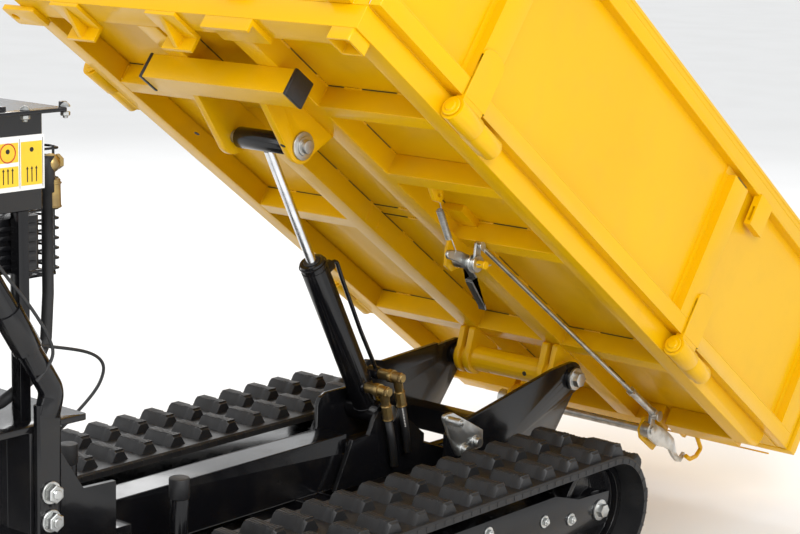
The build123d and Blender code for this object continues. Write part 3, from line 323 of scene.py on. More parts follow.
WORLD = Matrix.Identity(4)
BED_END = 0.352
BED = basis(Vector(joint("side_right_drop")["axis"]).normalized(), Vector(joint("bed_tip")["pos_m"]))
RAM = basis(Vector(joint("ram_stroke")["axis"]).normalized(), Vector(joint("ram_rod_turn")["pos_m"]))


def span(node: str, local: Matrix = WORLD) -> tuple[Vector, Vector]:
    """Lowest and highest corner of a CAD node in a local frame."""
    back = local.inverted()
    spots = [back @ v.co for v in frame["nodes"][node].data.vertices]
    low = Vector(min(p[i] for p in spots) for i in range(3))
    high = Vector(max(p[i] for p in spots) for i in range(3))
    return low, high


# ---------------------------------------------------------------- shapes
class Shape:
    """A mesh built up in one local frame.

    Args:
        name: Name of the finished object.
        local: Frame of the points handed to it.
    """

    def __init__(self, name: str, local: Matrix = WORLD) -> None:
        self.name = name
        self.local = local
        self.bm = bmesh.new()

    def _bevel(self, edges: Iterable[bmesh.types.BMEdge], width: float, steps: int = 2) -> None:
        if width > 0:
            bmesh.ops.bevel(self.bm, geom=list(edges), offset=width, offset_type="OFFSET", segments=steps,
                            profile=0.5, affect="EDGES", clamp_overlap=True, material=-1)

    def box(self, low: Point, high: Point, round_by: float = 0.0008, steps: int = 2) -> "Shape":
        """Adds a block with eased edges."""
        low, high = Vector(low), Vector(high)
        scale = Matrix.Diagonal((*(high - low), 1.0))
        made = bmesh.ops.create_cube(self.bm, size=1.0, matrix=Matrix.Translation((low + high) / 2) @ scale)
        self._bevel({e for v in made["verts"] for e in v.link_edges}, round_by, steps)
        return self

    def rod(self, start: Point, end: Point, r: float, sides: int = 24, ease: float = 0.0006,
            r_end: float | None = None) -> "Shape":
        """Adds a cylinder, cone or prism between two points."""
        start, end = Vector(start), Vector(end)
        run = end - start
        place = Matrix.Translation((start + end) / 2) @ run.to_track_quat("Z", "Y").to_matrix().to_4x4()
        made = bmesh.ops.create_cone(self.bm, cap_ends=True, segments=sides, radius1=r,
                                     radius2=r if r_end is None else r_end, depth=run.length, matrix=place)
        caps = {f for v in made["verts"] for f in v.link_faces if len(f.verts) == sides}
        self._bevel({e for f in caps for e in f.edges}, ease, 1)
        return self

    def prism(self, outline: Sequence[tuple[float, float]], y0: float, y1: float, ease: float = 0.0007) -> "Shape":
        """Adds a plate of an outline on the first and third axis, between two places across."""
        face = self.bm.faces.new([self.bm.verts.new((x, y0, z)) for x, z in outline])
        grown = bmesh.ops.extrude_face_region(self.bm, geom=[face])
        fresh = [g for g in grown["geom"] if isinstance(g, bmesh.types.BMVert)]
        bmesh.ops.translate(self.bm, verts=fresh, vec=(0, y1 - y0, 0))
        self._bevel({e for v in [*fresh, *face.verts] for e in v.link_edges}, ease, 1)
        return self

    def tube(self, route: Sequence[Point], r: float, sides: int = 8, widths: Sequence[float] | None = None,
             soft: bool = False, closed: bool = False) -> "Shape":
        """Adds a round bar along points.

        Args:
            route: The points of the centreline.
            r: Radius.
            sides: Sides of the section.
            widths: A share of the radius at each point.
            soft: Takes the points as a smooth curve's control points.
            closed: Joins the last point to the first.
        """
        data = bpy.data.curves.new("route", "CURVE")
        data.dimensions = "3D"
        line = data.splines.new("NURBS" if soft else "POLY")
        line.points.add(len(route) - 1)
        for number, place in enumerate(route):
            line.points[number].co = (*place, 1.0)
            line.points[number].radius = widths[number] if widths else 1.0
        line.use_cyclic_u = closed
        if soft:
            line.order_u = 4
            line.use_endpoint_u = True
            line.resolution_u = 8
        data.bevel_depth = r
        data.bevel_resolution = max(0, sides // 4 - 1)
        data.use_fill_caps = not closed
        carrier = bpy.data.objects.new("route", data)
        mesh = bpy.data.meshes.new_from_object(carrier)
        self.bm.from_mesh(mesh)
        bpy.data.objects.remove(carrier)
        bpy.data.curves.remove(data)
        bpy.data.meshes.remove(mesh)
        return self

    def bead(self, start: Point, end: Point, r: float) -> "Shape":
        """Adds a weld bead with its ripples between two points."""
        start, end = Vector(start), Vector(end)
        count = max(4, int((end - start).length / 0.0022))
        route = [start.lerp(end, i / count) for i in range(count + 1)]
        widths = [0.55 + 0.45 * sin(pi * min(1.0, 6 * i * (count - i) / count**2)) * 0.5 + (0.22 if i % 2 else 0.0)
                  for i in range(count + 1)]
        return self.tube(route, r, 8, widths)

    def bolt(self, foot: Point, out: Point, r: float, high: float, washer: float = 0.0) -> "Shape":
        """Adds a hexagon head with its washer and thread end."""
        foot, out = Vector(foot), Vector(out).normalized()
        if washer:
            self.rod(foot, foot + out * 0.0025, washer, 32, 0.0004)
            foot = foot + out * 0.0025
        self.rod(foot, foot + out * high, r, 6, 0.0009)
        self.rod(foot + out * high, foot + out * (high + 0.002), r * 0.5, 16, 0.0005)
        return self

    def stamp(self, other: "Shape", places: Iterable[Matrix]) -> "Shape":
        """Adds copies of another shape at several places."""
        pattern = bpy.data.meshes.new("pattern")
        other.bm.to_mesh(pattern)
        for place in places:
            copy = pattern.copy()
            copy.transform(place)
            self.bm.from_mesh(copy)
            bpy.data.meshes.remove(copy)
        bpy.data.meshes.remove(pattern)
        return self

    def finish(self, body: str, slot: Slot, *nodes: str) -> bpy.types.Object:
        """Turns the shape into an object that rides on a body.

        Args:
            body: CAD body it moves with.
            slot: Its finish.
            nodes: CAD nodes it stands for.

        Returns:
            The object.
        """
        mesh = bpy.data.meshes.new(self.name)
        self.bm.transform(self.local)
        bmesh.ops.recalc_face_normals(self.bm, faces=self.bm.faces)
        self.bm.to_mesh(mesh)
        self.bm.free()
        smooth(mesh)
        mesh.materials.append(material(slot))
        made = bpy.data.objects.new(self.name, mesh)
        bpy.context.scene.collection.objects.link(made)
        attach(made, body)
        if nodes:
            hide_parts(*nodes)
        return made


def smooth(mesh: bpy.types.Mesh) -> None:
    """Shades a mesh smooth, with its corners kept sharp."""
    mesh.shade_smooth()
    mesh.set_sharp_from_angle(angle=SMOOTH_ANGLE)


def dress(node: str, slot: Slot, ease: float = 0.0009) -> None:
    """Gives a CAD node its finish and eased edges that catch the light."""
    part = frame["nodes"][node]
    smooth(part.data)
    part.data.materials.clear()
    part.data.materials.append(material(slot))
    weld = part.modifiers.new("weld", "WELD")
    weld.merge_threshold = 0.00002
    flat = part.modifiers.new("flat", "DECIMATE")
    flat.decimate_type = "DISSOLVE"
    flat.angle_limit = radians(0.6)
    if ease > 0:
        bevel = part.modifiers.new("ease", "BEVEL")
        bevel.width = ease
        bevel.segments = 2
        bevel.limit_method = "ANGLE"
        bevel.angle_limit = radians(40)
        bevel.use_clamp_overlap = True
        bevel.harden_normals = True


# ---------------------------------------------------------------- bed
@dataclass(frozen=True)
class BedSizes:
    """Places along the bed, across it and square to it, from the hinge."""

    members: tuple = (-0.790, -0.403, -0.025)
    member_half: float = 0.015
    spar_in: float = 0.071
    spar_out: float = 0.111
    stitch: float = 0.034
    stitch_pitch: float = 0.102
    bead: float = 0.0024
    # Half-width of the painted shade strips along the gaps under the floor.
    shade_and_print: float = 0.0011
    pin_u: float = -0.408
    pin_w: float = 0.009


class Bed:
    """The tipping bed with its welded under-frame."""

    yellow = ("bed_floor", "bed_perimeter", "bed_spars", "bed_cross_tube", "bed_pivot", "side_hinges",
              "latch_brackets", "bed_hooks")

    def __init__(self, sizes: BedSizes) -> None:
        self.sizes = sizes
        self.floor_low, self.floor_high = span("bed_floor", BED)
        self.rim_low, self.rim_high = span("bed_perimeter", BED)

    def dress(self) -> None:
        """Finishes the CAD nodes."""
        for node in self.yellow:
            dress(node, Slot.YELLOW, 0.0005 if node == "bed_floor" else 0.0013)
        dress("bed_pins", Slot.ZINC)
        dress("cross_tube_caps", Slot.PLASTIC, 0.0016)

    def seams(self) -> None:
        """Welds in stitches along the members and spars, with painted shade strips along the gaps under the floor."""
        z = self.sizes
        top = self.floor_low.z
        low = span("bed_spars", BED)[0].z
        edge = span("bed_perimeter", BED)[1].y - 0.036
        welds = Shape("bed_welds", BED)
        gap_shade = Shape("bed_seam_shade", BED)
        for place in z.members:
            for sign in (-1, 1):
                u = place + sign * (z.member_half + 0.0004)
                for y0, y1 in ((-edge, -z.spar_out), (-z.spar_in, z.spar_in), (z.spar_out, edge)):
                    # Near-black strip painted as the shade in the gap where the member meets the floor.
                    gap_shade.box((u - z.shade_and_print, y0, top - z.shade_and_print), (u + z.shade_and_print, y1, top - 0.0001), 0)
                    self._stitches(welds, (u, y0, top - 0.0012), (u, y1, top - 0.0012))
        for side in (-1, 1):
            for edge_y in (z.spar_in, z.spar_out):
                y = side * edge_y
                u0, u1 = self.rim_low.x + 0.06, 0.25
                # Near-black strip painted as the shade in the gap where the spar meets the floor.
                gap_shade.box((u0, y - z.shade_and_print, top - z.shade_and_print), (u1, y + z.shade_and_print, top - 0.0001), 0)
                self._stitches(welds, (u0, y, top - 0.0012), (u1, y, top - 0.0012))
                for place in z.members:
                    for sign in (-1, 1):
                        u = place + sign * z.member_half
                        welds.bead((u, y, low + 0.006), (u, y, top - 0.004), z.bead * 0.9)
        for place in z.members:
            for side in (-1, 1):
                y = side * edge
                for sign in (-1, 1):
                    u = place + sign * z.member_half
                    welds.bead((u, y, self.rim_low.z + 0.004), (u, y, top - 0.004), z.bead)
        welds.finish("bed", Slot.YELLOW)
        gap_shade.finish("bed", Slot.SHADE_AND_PRINT)

    def _stitches(self, welds: Shape, start: Point, end: Point) -> None:
        start, end = Vector(start), Vector(end)
        run = end - start
        count = max(1, round(run.length / self.sizes.stitch_pitch))
        half = self.sizes.stitch / 2 / run.length
        for i in range(count):
            mid = (i + 0.5) / count
            welds.bead(start + run * (mid - half), start + run * (mid + half), self.sizes.bead)

    def fittings(self) -> None:
        """Pivot collars, the grease hole and the pin heads."""
        low, high = span("bed_pivot", BED)
        z = self.sizes
        collars = Shape("pivot_beads", BED)
        for y in (low.y + 0.004, -z.spar_out, z.spar_out, high.y - 0.004):
            ring = [(0.0222 * cos(tau * i / 96), y, 0.0222 * sin(tau * i / 96)) for i in range(96)]
            collars.tube(ring, 0.0017, 8, [1.0 if i % 2 else 0.76 for i in range(96)], closed=True)
        collars.finish("bed", Slot.YELLOW)
        hole = Shape("pivot_grease_hole", BED)
        hole.rod((-0.0150, -0.045, -0.0150), (-0.0161, -0.045, -0.0161), 0.0042, 20, 0.0003)
        hole.finish("bed", Slot.GREASE)
        pins = Shape("latch_pin_head", BED)
        face = span("latch_brackets", BED)[0].y
        head = Shape("latch_pin_cap", BED)
        head.rod((z.pin_u, face - 0.0035, z.pin_w), (z.pin_u, face + 0.0005, z.pin_w), 0.0070, 28, 0.0012)
        head.finish("bed", Slot.YELLOW)
        pins.tube([(z.pin_u - 0.012, face + 0.004, z.pin_w - 0.006), (z.pin_u, face + 0.004, z.pin_w),
                   (z.pin_u + 0.013, face + 0.004, z.pin_w + 0.004), (z.pin_u + 0.018, face + 0.003, z.pin_w + 0.010)],
                  0.0012, 8, soft=True)
        pins.finish("bed", Slot.ZINC)
        tube_low, tube_high = span("bed_cross_tube", BED)
        # Near-black discs painted as the shade inside the drain holes under the cross tube.
        drain_shade = Shape("cross_tube_drain_shade", BED)
        mid = (tube_low.x + tube_high.x) / 2
        for y in (tube_low.y + 0.055, tube_high.y - 0.055):
            drain_shade.rod((mid, y, tube_low.z - 0.0003), (mid, y, tube_low.z + 0.0004), 0.0042, 20, 0)
        drain_shade.finish("bed", Slot.SHADE_AND_PRINT)


# ---------------------------------------------------------------- drop sides and tailgate
class DropSide:
    """One hinged side of the bed.

    Args:
        side: "left" or "right".
    """

    posts = (-0.793, -0.105, 0.327)
    hinges = (-0.7695, -0.0515)
    face = 0.3665
    foot = 0.078

    def __init__(self, side: str) -> None:
        self.side = side
        self.node = f"drop_side_{side}"
        self.body = f"side_{side}"
        self.sign = 1 if side == "left" else -1
        self.low, self.high = span(self.node, BED)

    def dress(self) -> None:
        """Finishes the CAD node."""
        dress(self.node, Slot.YELLOW, 0.0011)

    def pressings(self) -> None:
        """Folded lips along the top rail, painted shade strips in the slots at the posts and the hinges, and strap
        ends.
        """
        lips = Shape(f"side_lips_{self.side}", BED)
        rear, fore, top = self.low.x + 0.004, BED_END - 0.004, self.high.z
        for w, r in ((top - 0.0045, 0.0022), (top - 0.014, 0.0016), (top - 0.0365, 0.0012),
                     (self.foot + 0.0272, 0.0012)):
            y = self.sign * (self.face - 0.0006)
            lips.tube([(rear, y, w), (fore, y, w)], r, 8)
        lips.finish(self.body, Slot.YELLOW)
        # Near-black strips painted as the shade in the slots under the top rail and at the hinge feet.
        slots = Shape(f"side_slot_shade_{self.side}", BED)
        y0, y1 = sorted((self.sign * (self.face - 0.004), self.sign * (self.face + 0.0004)))
        for post in self.posts:
            slots.box((post - 0.017, y0, top - 0.0502), (post + 0.017, y1, top - 0.0486), 0)
        for hinge in self.hinges:
            slots.box((hinge - 0.0005, y0 - 0.006, self.foot - 0.001), (hinge + 0.0005, y1 + 0.0002, self.foot), 0)
        slots.finish(self.body, Slot.SHADE_AND_PRINT)
        straps = Shape(f"side_straps_{self.side}", BED)
        for hinge in self.hinges:
            y0, y1 = sorted((self.sign * (self.face - 0.001), self.sign * (self.face + 0.0045)))
            u0, u1 = hinge - 0.0495, hinge + 0.004
            top_w = self.foot + 0.068
            arc = [(u0 + (u1 - u0) * (0.5 - 0.5 * cos(pi * i / 10)), top_w + 0.016 * sin(pi * i / 10))
                   for i in range(11)]
            straps.prism([(u1, self.foot), (u0, self.foot)] + arc, y0, y1, 0.0012)
        straps.finish(self.body, Slot.YELLOW)


class Tailgate:
    """The top-hung gate at the dump end."""

    def dress(self) -> None:
        """Finishes the CAD node."""
        dress("tailgate", Slot.YELLOW, 0.0011)

    def pressings(self) -> None:
        """Stiffening lips."""
        low, high = span("tailgate", BED)
        lips = Shape("tailgate_lips", BED)
        for w in (low.z + 0.05, high.z - 0.03):
            lips.tube([(high.x - 0.0225, low.y + 0.05, w), (high.x - 0.0225, high.y - 0.05, w)], 0.0014, 8)
        lips.finish("tailgate_body", Slot.YELLOW)


# ---------------------------------------------------------------- latch
@dataclass(frozen=True)
class SpringSizes:
    """The latch spring."""

    wire: float = 0.0010
    coil: float = 0.0048
    turns: int = 22
    hook: float = 0.030


class Latch:
    """Lever, rod, hooks and spring of the automatic tailgate latch."""

    def __init__(self, spring: SpringSizes) -> None:
        self.spring = spring

    def dress(self) -> None:
        """Finishes the CAD nodes that are kept."""
        dress("latch_rod", Slot.ZINC, 0.0006)
        dress("latch_hooks", Slot.ZINC, 0.0009)

    def coil(self) -> None:
        """Extension spring with a hook at each end."""
        z = self.spring
        low, high = span("latch_spring", BED)
        y = (low.y + high.y) / 2
        rear = Vector((low.x + z.wire, y, high.z - z.wire))
        fore = Vector((high.x - z.wire, y, low.z + z.wire))
        run = (fore - rear).normalized()
        side = Vector((0, 1, 0))
        up = run.cross(side)
        first, last = rear + run * z.hook, fore - run * z.hook
        route = [rear + up * 0.001, rear + up * 0.006 + run * 0.003, first + up * z.coil]
        count = z.turns * 20
        for i in range(count + 1):
            turn = tau * z.turns * i / count
            centre = first.lerp(last, i / count)
            route.append(centre + up * (z.coil * cos(turn)) + side * (z.coil * sin(turn)))
        route += [fore + up * 0.006 - run * 0.003, fore + up * 0.001]
        body = Shape("latch_coil_spring", BED)
        body.tube(route, z.wire, 8)
        body.finish("lever_spring", Slot.ZINC, "latch_spring")

    def lever(self) -> None:
        """Bell-crank lever: hub, arm to the rod, arm to the spring and the bent strip that meets the roller."""
        u, w = BedSizes.pin_u, BedSizes.pin_w
        crank = Shape("latch_crank", BED)
        crank.rod((u, -0.172, w), (u, -0.129, w), 0.0105, 32, 0.0010)
        crank.rod((u, -0.1745, w), (u, -0.172, w), 0.0135, 32, 0.0006)
        crank.rod((u, -0.1655, w), (u, -0.163, w), 0.0150, 32, 0.0006)
        arm = ((u - 0.0105, w + 0.002), (u - 0.0225, w + 0.024), (u - 0.0205, w + 0.030), (u - 0.0150, w + 0.0315),
               (u - 0.0095, w + 0.029), (u - 0.0065, w + 0.024), (u + 0.0105, w + 0.002))
        crank.prism(arm, -0.172, -0.1675, 0.0012)
        spring_arm = ((u, w + 0.011), (u - 0.030, w + 0.004), (u - 0.050, w - 0.005), (u - 0.058, w - 0.011),
                      (u - 0.057, w - 0.018), (u - 0.050, w - 0.0205), (u - 0.028, w - 0.014), (u, w - 0.011))
        crank.prism(spring_arm, -0.157, -0.1515, 0.0014)
        crank.finish("lever", Slot.ZINC, "latch_lever")
        path = ((u + 0.002, w - 0.006), (u + 0.029, w - 0.011), (u + 0.020, w - 0.021), (u + 0.074, w - 0.036),
                (u + 0.080, w - 0.040))
        thick = 0.0030
        outline = [*path, *((x - 0.0004, z - thick) for x, z in reversed(path))]
        strip = Shape("latch_strip", BED)
        strip.prism(outline, -0.161, -0.1465, 0.0008)
        strip.finish("lever", Slot.GALVANISED)

    def adjuster(self) -> None:
        """Threaded sleeve of the rod, with its lock nuts, thread and fork, and the bent eye at the lever."""
        start = Vector((BedSizes.pin_u - 0.016, -0.1765, BedSizes.pin_w + 0.024))
        hook_w = BED.inverted() @ Vector(joint("latch_hook_turn")["pos_m"])
        end = Vector((hook_w.x - 0.016, -0.1765, hook_w.z + 0.024))
        run = (end - start).normalized()
        nuts = Shape("latch_adjuster", BED)
        for back, long, r in ((0.108, 0.007, 0.0086), (0.018, 0.008, 0.0086)):
            nuts.rod(end - run * back, end - run * (back - long), r, 6, 0.0009)
        for i in range(14):
            at = end - run * (0.132 - i * 0.0018)
            nuts.rod(at, at + run * 0.0009, 0.0042, 16, 0.0002)
        nuts.rod(end + Vector((0, -0.0075, 0)), end + Vector((0, -0.0050, 0)), 0.0094, 28, 0.0008)
        nuts.rod(start + Vector((0, -0.0050, 0)), start + Vector((0, -0.0028, 0)), 0.0068, 28, 0.0006)
        nuts.finish("lever_rod", Slot.ZINC)
        pin = Shape("latch_split_pin", BED)
        pin.tube([start + Vector((-0.007, -0.0042, 0.003)), start + Vector((0, -0.0042, 0)),
                  start + Vector((0.007, -0.0042, -0.002)), start + Vector((0.010, -0.0042, -0.006))], 0.0008, 8, soft=True)
        pin.finish("lever_rod", Slot.ZINC)


# ---------------------------------------------------------------- ram
class Ram:
    """Hydraulic ram with its fittings and hoses."""

    def dress(self) -> None:
        """Finishes the CAD nodes."""
        dress("ram_eye", Slot.BLACK, 0.0012)
        dress("ram_barrel", Slot.BLACK, 0.0010)
        dress("ram_oil_line", Slot.BLACK, 0.0003)
        dress("ram_rod", Slot.CHROME, 0.0003)
        dress("ram_elbows", Slot.BRASS, 0.0007)
        dress("ram_hoses", Slot.RUBBER, 0.0)

    def prints(self) -> None:
        """Crimp grooves on the ferrules, banjo bolts and the printed line on one hose."""
        low, high = span("ram_elbows")
        centres = [RAM @ Vector((0.461, -0.056, 0.0)) + RAM.to_3x3() @ Vector((0, 0, off)) for off in (-0.005, 0.031)]
        crimps = Shape("ram_crimps")
        bolts = Shape("ram_banjo_bolts")
        for centre in centres:
            bolts.rod(centre + Vector((0, -0.008, 0)), centre + Vector((0, -0.0125, 0)), 0.0092, 6, 0.0010)
            bolts.rod(centre + Vector((0, -0.0125, 0)), centre + Vector((0, -0.0140, 0)), 0.0070, 28, 0.0007)
            top = centre + Vector((0.006, 0, -0.018))
            foot = centre + Vector((0.0141, 0, -0.0483))
            crimps.rod(top.lerp(foot, 0.18), top.lerp(foot, 1.02), 0.0082, 8, 0.0012)
            for share in (0.22, 0.96):
                crimps.rod(top.lerp(foot, share), top.lerp(foot, share + 0.06), 0.0089, 28, 0.0005)
        crimps.finish("ram_lower", Slot.BRASS)
        bolts.finish("ram_lower", Slot.BRASS)
        line = Shape("ram_hose_print")
        centre = centres[1]
        first = centre + Vector((0.0145 - 0.0046, -0.0049, -0.050))
        last = centre + Vector((0.024 - 0.0046, -0.0049, -0.0845))
        for i in range(14):
            a = first.lerp(last, i / 14)
            line.rod(a, first.lerp(last, (i + 0.34 + 0.2 * (i % 2)) / 14), 0.0011, 8, 0)
        line.finish("ram_lower", Slot.LABEL)
        log.info("fittings %.3f to %.3f", low.z, high.z)

    def rings(self) -> None:
        """Wiper ring and gland groove at the rod end, and the weld at the base."""
        low, high = span("ram_barrel", RAM)
        r = 0.0215
        mid = (low.y + high.y) / 2
        rings = Shape("ram_wiper", RAM)
        rings.rod((0.2195, 0, 0), (0.2212, 0, 0), 0.0135, 40, 0.0004)
        rings.finish("ram_lower", Slot.RUBBER)
        weld = Shape("ram_base_weld", RAM)
        for along in (high.x - 0.034, 0.226):
            ring = [(along, r * cos(tau * i / 90), r * sin(tau * i / 90)) for i in range(90)]
            weld.tube(ring, 0.0013, 8, [1.0 if i % 2 else 0.7 for i in range(90)], closed=True)
        weld.finish("ram_lower", Slot.BLACK)
        log.info("barrel centre %.4f", mid)


# ---------------------------------------------------------------- chassis
class Chassis:
    """Beam, hinge plates, cross members and fasteners."""

    def dress(self) -> None:
        """Finishes the CAD nodes."""
        dress("chassis_frame", Slot.BLACK, 0.0013)
        dress("rest_caps", Slot.RUBBER, 0.0018)
        dress("striker_bracket", Slot.ZINC, 0.0007)
        dress("striker_roller", Slot.ZINC, 0.0006)
        dress("chassis_fasteners", Slot.ZINC, 0.0008)

    def welds(self) -> None:
        """Fillets where the beam, the cheeks and the cross members meet."""
        x_rear, x_front, half, low, high = -0.474, 0.066, 0.0255, 0.149, 0.232
        beads = Shape("chassis_welds")
        for sign in (-1, 1):
            y = sign * half
            for x in (-0.400, -0.350, -0.045, 0.005):
                beads.bead((x, sign * half, low + 0.001), (x, sign * 0.112, low + 0.001), 0.0024)
            beads.bead((x_front - 0.008, y * 1.32, low + 0.004), (x_front - 0.008, y * 1.32, high - 0.01), 0.0022)
            ring = [(-0.375 + 0.0134 * cos(tau * i / 48), sign * 0.117 + 0.0134 * sin(tau * i / 48), low + 0.001)
                    for i in range(48)]
            beads.tube(ring, 0.0018, 8, [1.0 if i % 2 else 0.72 for i in range(48)], closed=True)
            for z in (low + 0.0005, high - 0.0005):
                beads.tube([(x_rear + 0.01, y, z), (x_front - 0.004, y, z)], 0.0009, 8)
        beads.finish("chassis", Slot.BLACK)


# ---------------------------------------------------------------- tracks
@dataclass(frozen=True)
class BeltSizes:
    """Rubber belt and its lugs."""

    thick: float = 0.012
    lug_high: float = 0.018
    lugs: int = 37
    root: float = 0.038
    tip: float = 0.022
    rib_high: float = 0.0014
    ribs: int = 11
    waist: tuple = ((0.0, 0.78, 0.9), (0.07, 1.05, 1.0), (0.2, 1.02, 1.0), (0.29, 0.72, 0.92), (0.36, 0.72, 0.92),
                    (0.46, 1.02, 1.0), (0.92, 1.05, 1.0), (1.0, 0.8, 0.9))
    pitch: float = 0.060
    rows: tuple = ((0.280, 0.340, 0.0), (0.186, 0.250, 0.0473))
    guide: tuple = (0.248, 0.272)
    guide_high: float = 0.014
    tick_pitch: float = 0.0202


class Track:
    """One rubber track with its wheels.

    Args:
        side: "left" or "right".
        sizes: The belt's sizes.
    """

    def __init__(self, side: str, sizes: BeltSizes) -> None:
        self.side = side
        self.sizes = sizes
        self.sign = 1 if side == "left" else -1
        tag = side[0]
        self.rear = Vector(joint(f"sprocket_{tag}_spin")["pos_m"])
        self.front = Vector(joint(f"idler_{tag}_spin")["pos_m"])
        self.low, self.high = span(f"belt_{side}")
        crest = round(self.high.z - self.rear.z, 4)
        self.wheel_r = crest - sizes.lug_high - sizes.thick
        self.pitch_r = self.wheel_r + 0.00817
        self.straight = self.front.x - self.rear.x
        self.loop = 2 * self.straight + tau * self.pitch_r

    def dress(self) -> None:
        """Finishes the wheels, rollers and side frame."""
        dress(f"sprocket_{self.side}", Slot.BLACK)
        dress(f"idler_{self.side}", Slot.BLACK)
        dress(f"track_frame_{self.side}", Slot.BLACK, 0.0012)
        for number in (1, 2, 3):
            dress(f"roller_{self.side}_{number}", Slot.BLACK)

    def place(self, run: float) -> Matrix:
        """Frame on the belt's pitch line: along the run, across, and outward."""
        run %= self.loop
        half = pi * self.pitch_r
        if run < self.straight:
            centre, turn = self.rear + Vector((run, 0, 0)), 0.0
        elif run < self.straight + half:
            centre, turn = self.front, (run - self.straight) / self.pitch_r
        elif run < 2 * self.straight + half:
            centre, turn = self.front - Vector((run - self.straight - half, 0, 0)), pi
        else:
            centre, turn = self.rear, pi + (run - 2 * self.straight - half) / self.pitch_r
        turned = Matrix.Translation((centre.x, 0, centre.z)) @ Matrix.Rotation(turn, 4, "Y")
        return turned @ Matrix.Translation((0, 0, self.pitch_r))

    def _lug(self, y0: float, y1: float) -> Shape:
        z = self.sizes
        base = self.wheel_r + z.thick - self.pitch_r
        crown = base + z.lug_high - z.rib_high
        lug = Shape("lug")
        loops = []
        for share, tip, root in z.waist:
            y = y0 + (y1 - y0) * share
            fall = 0.003 if share in (0.0, 1.0) else 0.0
            outline = ((-z.root * root / 2, base - 0.002), (-z.root * root / 2.5, base + 0.0035),
                       (-z.tip * tip / 2, crown - 0.002 - fall), (-z.tip * tip / 2 + 0.002, crown - fall),
                       (z.tip * tip / 2 - 0.002, crown - fall), (z.tip * tip / 2, crown - 0.002 - fall),
                       (z.root * root / 2.5, base + 0.0035), (z.root * root / 2, base - 0.002))
            ring = [lug.bm.verts.new((x, y, h)) for x, h in outline]
            loops.append([lug.bm.edges.new((ring[k - 1], ring[k])) for k in range(len(ring))])
        for first, second in zip(loops, loops[1:]):
            bmesh.ops.bridge_loops(lug.bm, edges=first + second)
        for end in (loops[0], loops[-1]):
            bmesh.ops.contextual_create(lug.bm, geom=end)
        pitch = (y1 - y0 - 0.006) / z.ribs
        for i in range(z.ribs):
            at = y0 + 0.003 + pitch * i
            half = z.tip * 0.44 if abs((i + 0.5) / z.ribs - 0.3) > 0.12 else z.tip * 0.33
            ridge = ((-half - 0.0006, crown - 0.0025), (half + 0.0006, crown - 0.0025),
                     (half - 0.001, crown + z.rib_high), (-half + 0.001, crown + z.rib_high))
            lug.prism(ridge, at, at + pitch * 0.72, 0.0005)
        return lug

    def belt(self) -> None:
        """Carcass with rounded edges, ribbed lugs outside, guide blocks inside and moulded ticks on its edges."""
        z = self.sizes
        phase = -self.rear.x % z.pitch + (-0.0215 if self.sign > 0 else 0.0)
        belt = Shape(f"rubber_belt_{self.side}")
        y0, y1 = sorted((self.low.y, self.high.y))
        bm = belt.bm
        inner, outer = self.wheel_r + 0.0001, self.wheel_r + z.thick
        lip = 0.003
        section = ((y0, inner), (y0, outer - lip), (y0 + lip, outer), (y1 - lip, outer), (y1, outer - lip), (y1, inner))
        ring = [bm.verts.new((self.rear.x, y, self.rear.z + r)) for y, r in section]
        edges = [bm.edges.new((ring[i - 1], ring[i])) for i in range(len(ring))]
        for centre, way in ((self.front, 1), (self.rear, -1)):
            grown = bmesh.ops.extrude_edge_only(bm, edges=edges)["geom"]
            verts = [g for g in grown if isinstance(g, bmesh.types.BMVert)]
            bmesh.ops.translate(bm, verts=verts, vec=(way * self.straight, 0, 0))
            edges = [g for g in grown if isinstance(g, bmesh.types.BMEdge)
                     and all(v in verts for v in g.verts)]
            turned = bmesh.ops.spin(bm, geom=edges, cent=(centre.x, 0, centre.z), axis=(0, 1, 0), angle=pi,
                                    steps=36, use_merge=False)
            edges = [g for g in turned["geom_last"] if isinstance(g, bmesh.types.BMEdge)]
        bmesh.ops.remove_doubles(bm, verts=bm.verts, dist=0.0001)
        for row_in, row_out, lead in z.rows:
            a, b = sorted((self.sign * row_in, self.sign * row_out))
            lug = self._lug(a, b)
            runs = [phase + lead + i * self.loop / z.lugs for i in range(z.lugs)]
            belt.stamp(lug, [self.place(run) for run in runs])
        a, b = sorted((self.sign * z.guide[0], self.sign * z.guide[1]))
        low = self.wheel_r + 0.001 - self.pitch_r
        high = self.wheel_r - z.guide_high - self.pitch_r
        guide = Shape("guide").prism(((-0.013, low), (0.013, low), (0.008, high), (-0.008, high)), a, b, 0.0018)
        belt.stamp(guide, [self.place(phase + (i + 0.5) * self.loop / z.lugs) for i in range(z.lugs)])
        count = round(self.loop / z.tick_pitch)
        middle = (self.wheel_r + z.thick / 2) - self.pitch_r
        tick = Shape("tick")
        for y in (y0, y1):
            tick.box((-0.0016, y - 0.0008, middle - 0.0042), (0.0016, y + 0.0008, middle + 0.0034), 0.0003, 1)
        belt.stamp(tick, [self.place(i * self.loop / count) for i in range(count)])
        belt.finish("chassis", Slot.RUBBER, f"belt_{self.side}")

    def fasteners(self) -> None:
        """Frame bolts."""
        face = span(f"track_frame_{self.side}")[1 if self.sign > 0 else 0].y
        out = (0, self.sign, 0)
        bolts = Shape(f"track_bolts_{self.side}")
        for x, z in ((-0.36, 0.125), (-0.18, 0.140), (0.06, 0.140), (0.20, 0.125), (0.27, 0.112)):
            bolts.bolt((x, face, z), out, 0.0065, 0.005, 0.010)
        bolts.finish("chassis", Slot.ZINC)


